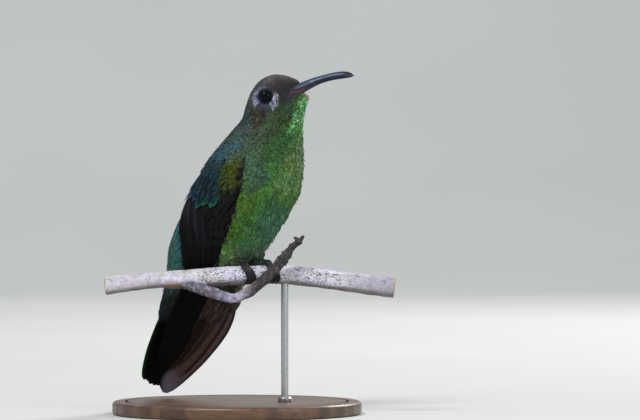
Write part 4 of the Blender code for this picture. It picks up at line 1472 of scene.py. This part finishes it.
def make_perch():
    bm = bmesh.new()
    branch, branch_radius = smooth_line(BRANCH_LINE, 120)
    tube(bm, branch, branch_radius, 40)
    twig, twig_radius = smooth_line(TWIG_LINE, 90)
    knobbly = sum(0.16 * stripe(np.linspace(0, 1, 90), at, 0.018) for at in KNOTS_ON_TWIG)
    tube(bm, twig, twig_radius * (1 + knobbly), 28)
    for share, lean, size in BUDS:
        lean = unit(np.array(lean, float))
        line = twig[int(share * 89)] + lean * np.linspace(0, 1.9 * size + 0.9, 6)[:, None]
        tube(bm, line, size * np.linspace(1, 0.62, 6), 12)
    mesh = remeshed(bm, "bark", 0.27, 2)
    p, normal = points_of(mesh), vectors(mesh.vertex_normals, "vector")
    x = p[:, 0]
    on_twig = ramp(-0.4, 0.6, clearance(p, branch, branch_radius) - clearance(p, twig, twig_radius))
    ends = ramp(BRANCH_LINE[0, 0] + 0.5, BRANCH_LINE[0, 0] + 0.15, x) + ramp(
        BRANCH_LINE[-1, 0] - 0.6, BRANCH_LINE[-1, 0] - 0.2, x)
    lumps = (0.05 + 0.09 * on_twig) * rough(p * (0.5, 1, 1), 1.3, 2, 4)
    lumps = (0.16 * rough(p * (0.45, 1, 1), 5.0, 2, 3) + lumps) * (1 - ends)
    mesh.vertices.foreach_set("co", ((p + normal * lumps[:, None]) * MM).astype(np.float32).ravel())
    mesh.update()
    fork = length_of((p - FORK) * (0.5, 1, 1))
    flecks = rough(p, 2.2, 3, 23)
    c = layered(
        (216, 213, 232),
        ((210, 204, 204), ramp(0.0, 0.7, rough(p * (0.4, 1, 1), 7.0, 3, 8)) * 0.7),
        ((186, 176, 160), ramp(-8, -26, x) * ramp(0.1, 0.8, rough(p, 4.0, 3, 9))),
        ((160, 156, 168), ramp(28, 44, x) * 0.8),
        ((196, 190, 202), ramp(-12, -26, x) * 0.7),
        # painted shade: greyer, darker bark on the faces turned downwards, under the branch
        ((128, 120, 112), ramp(-0.35, -0.9, normal[:, 2]) * 0.85),
        ((134, 104, 80), ramp(3.0, 0.8, fork) * 0.8),
        ((112, 108, 136), on_twig * ramp(4, -6, x) * 0.95),
        ((84, 80, 90), on_twig * ramp(-3, -9, x) * 0.8),
        ((58, 53, 57), on_twig * ramp(-1, 7, x)),
        ((36, 32, 34), on_twig * ramp(6, 14, x) * ramp(-0.6, 0.4, rough(p, 2.5, 2, 12))),
        # pale blue-white flecks on the twig's left part: partly bark, partly painted highlights on its knobs
        ((178, 174, 200), on_twig * ramp(-0.3, 0.6, flecks) * ramp(5, 0, x) * 0.6),
        ((112, 104, 108), on_twig * ramp(0.1, 0.6, rough(p, 1.8, 3, 23)) * ramp(2, 6, x) * 0.6),
        ((92, 66, 52), on_twig * ramp(0.3, 0.7, rough(p, 2.4, 3, 21)) * ramp(9, -2, x) * 0.5),
        ((186, 158, 120), ends),
    )
    paint(mesh, linear(c))
    amount = (1 - on_twig) * (0.2 + 0.8 * hill(-10, 30, 6, x)) * (1 - np.clip(ends, 0, 1))
    amount = amount * (0.6 + 0.4 * ramp(-0.9, 0.2, rough(p * (0.5, 1, 1), 5.0, 2, 31)))
    specks = mesh.attributes.new("specks", "FLOAT", "POINT")
    specks.data.foreach_set("value", amount.astype(np.float32))
    put("bark", mesh, bark_material(), "bark", ("perch",))


make_perch()

# ---- stand ----

BASE_ROUNDING = 1.1
GROOVE_IN = 4.2
GROOVE_RADIUS = 0.35


def turned(name, profile, centre, steps, material, slot, node):
    """A solid of revolution about an upright axis, from (radius, z) rows."""
    bm = bmesh.new()
    turns = around(steps)
    loft(bm, [[(centre[0] + radius * cos(a), centre[1] + radius * sin(a), z) for a in turns]
              for radius, z in profile])
    mesh = mesh_from(bm, name)
    mesh.set_sharp_from_angle(angle=radians(35))
    put(name, mesh, material, slot, (node,))


def walnut_material():
    n = Nodes("walnut", Roughness=0.42, Coat_Weight=0.25, Coat_Roughness=0.3)
    rings = n.add("TexWave", {"Vector": n.place(), "Scale": 46.0, "Distortion": 7.0, "Detail": 4.0,
                              "Detail Scale": 1.6, "Detail Roughness": 0.6}, 1, bands_direction="Y")
    fibre = n.noise(160, 5, 0.65, n.place((1.0, 9.0, 9.0)))
    pores = n.ramp(n.noise(900, 3, 0.6, n.place((0.1, 1, 1))), 0.62, 0.68)
    colour = n.mix(n.ramp(rings, 0.15, 0.9), (0.052, 0.024, 0.011), (0.135, 0.068, 0.034))
    colour = n.mix(n.ramp(fibre, 0.35, 0.7), colour, (0.09, 0.043, 0.021))
    colour = n.mix(n.math("MULTIPLY", pores, 0.7), colour, (0.018, 0.009, 0.005))
    n.bump(n.math("MULTIPLY", pores, -1.0), 0.00006, 0.5)
    return n.finish(colour, n.ramp(fibre, 0.3, 0.7, 0.36, 0.52))


def make_stand():
    low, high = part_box("stand_base")
    wide, top = (high.x - low.x) / 2 / MM, high.z / MM
    profile = [(wide - 0.8, 0.0), (wide - 0.2, 0.35), (wide, 0.9)]
    profile += [(wide - BASE_ROUNDING * (1 - cos(a)), top - BASE_ROUNDING * (1 - sin(a)))
                for a in np.linspace(0, pi / 2, 9)]
    profile += [(wide - GROOVE_IN - GROOVE_RADIUS * cos(a), top - GROOVE_RADIUS * sin(a))
                for a in np.linspace(0, pi, 9)]
    profile += [(6.0, top), (0.4, top)]
    turned("stand_base_turned", profile, (0, 0), 128, walnut_material(), "walnut", "stand_base")
    low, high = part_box("stand_rod")
    middle = ((low.x + high.x) / 2 / MM, (low.y + high.y) / 2 / MM)
    radius = (high.x - low.x) / 2 / MM
    # the rod, with a collar where it meets the base
    collar = ((0, 0.05), (0.9, 0.05), (1.0, 0.3), (1.0, 1.1), (0.7, 1.5), (0, 1.6))
    rod = [(radius, low.z / MM), *((radius + out, top + up) for out, up in collar), (radius, high.z / MM)]
    n = Nodes("steel_brushed", Roughness=0.3, Metallic=1.0, Anisotropic=0.4)
    lines = n.noise(1, 4, 0.6, n.place((900, 900, 14000)))
    n.bump(lines, 0.00001, 0.4)
    colour = n.mix(n.ramp(lines, 0.25, 0.75), (0.38, 0.38, 0.39), (0.56, 0.56, 0.57))
    steel = n.finish(colour, n.ramp(lines, 0.3, 0.7, 0.24, 0.4))
    turned("stand_rod_turned", rod, middle, 48, steel, "steel", "stand_rod")


make_stand()

# ---- floor and light ----


def area(name, place, size, power, colour, target=(0, 0, 0.07)):
    light = bpy.data.lights.new(name, "AREA")
    light.shape = "DISK"
    light.size = size
    light.energy = power
    light.color = colour
    obj = link(name, light)
    obj.location = place
    obj.rotation_euler = (Vector(target) - Vector(place)).to_track_quat("-Z", "Y").to_euler()


def make_studio():
    bm = bmesh.new()
    # y and z of a floor that curves up into a wall
    profile = [(-1.6, 0.0), (1.6, 0.0)]
    profile += [(1.6 + 0.9 * sin(a), 0.9 * (1 - cos(a))) for a in np.linspace(0.08, pi / 2, 22)]
    profile += [(2.5, 3.0)]
    rows = [[bm.verts.new((x, y, z)) for x in (-3.0, 3.0)] for y, z in profile]
    for one, two in zip(rows, rows[1:]):
        bm.faces.new((one[0], one[1], two[1], two[0]))
    mesh = bpy.data.meshes.new("floor")
    bm.to_mesh(mesh)
    bm.free()
    mesh.shade_smooth()
    n = Nodes("floor_paper", Roughness=0.9)
    tone = n.ramp(n.noise(3, 2), 0.3, 0.7)
    mesh.materials.append(n.finish(n.mix(tone, (0.52, 0.52, 0.51), (0.55, 0.55, 0.54))))
    floor = link("floor", mesh)
    world = bpy.data.worlds.new("studio")
    bpy.context.scene.world = world
    world.use_nodes = True
    back = world.node_tree.nodes["Background"]
    back.inputs["Color"].default_value = (0.86, 0.93, 1.0, 1)
    back.inputs["Strength"].default_value = 0.5
    area("backdrop", (0, 1.3, 1.9), 1.6, 16, (1.0, 1.0, 1.0), (0, 2.5, 0.5))
    area("key", (-0.45, -0.9, 1.15), 0.5, 16, (1.0, 0.98, 0.95))
    area("fill", (1.1, -0.9, 0.5), 0.8, 6, (0.95, 0.98, 1.0))
    area("rim", (0.8, 0.9, 0.8), 0.4, 13, (1.0, 1.0, 0.96))
    bpy.context.scene.view_settings.view_transform = "Standard"


make_studio()
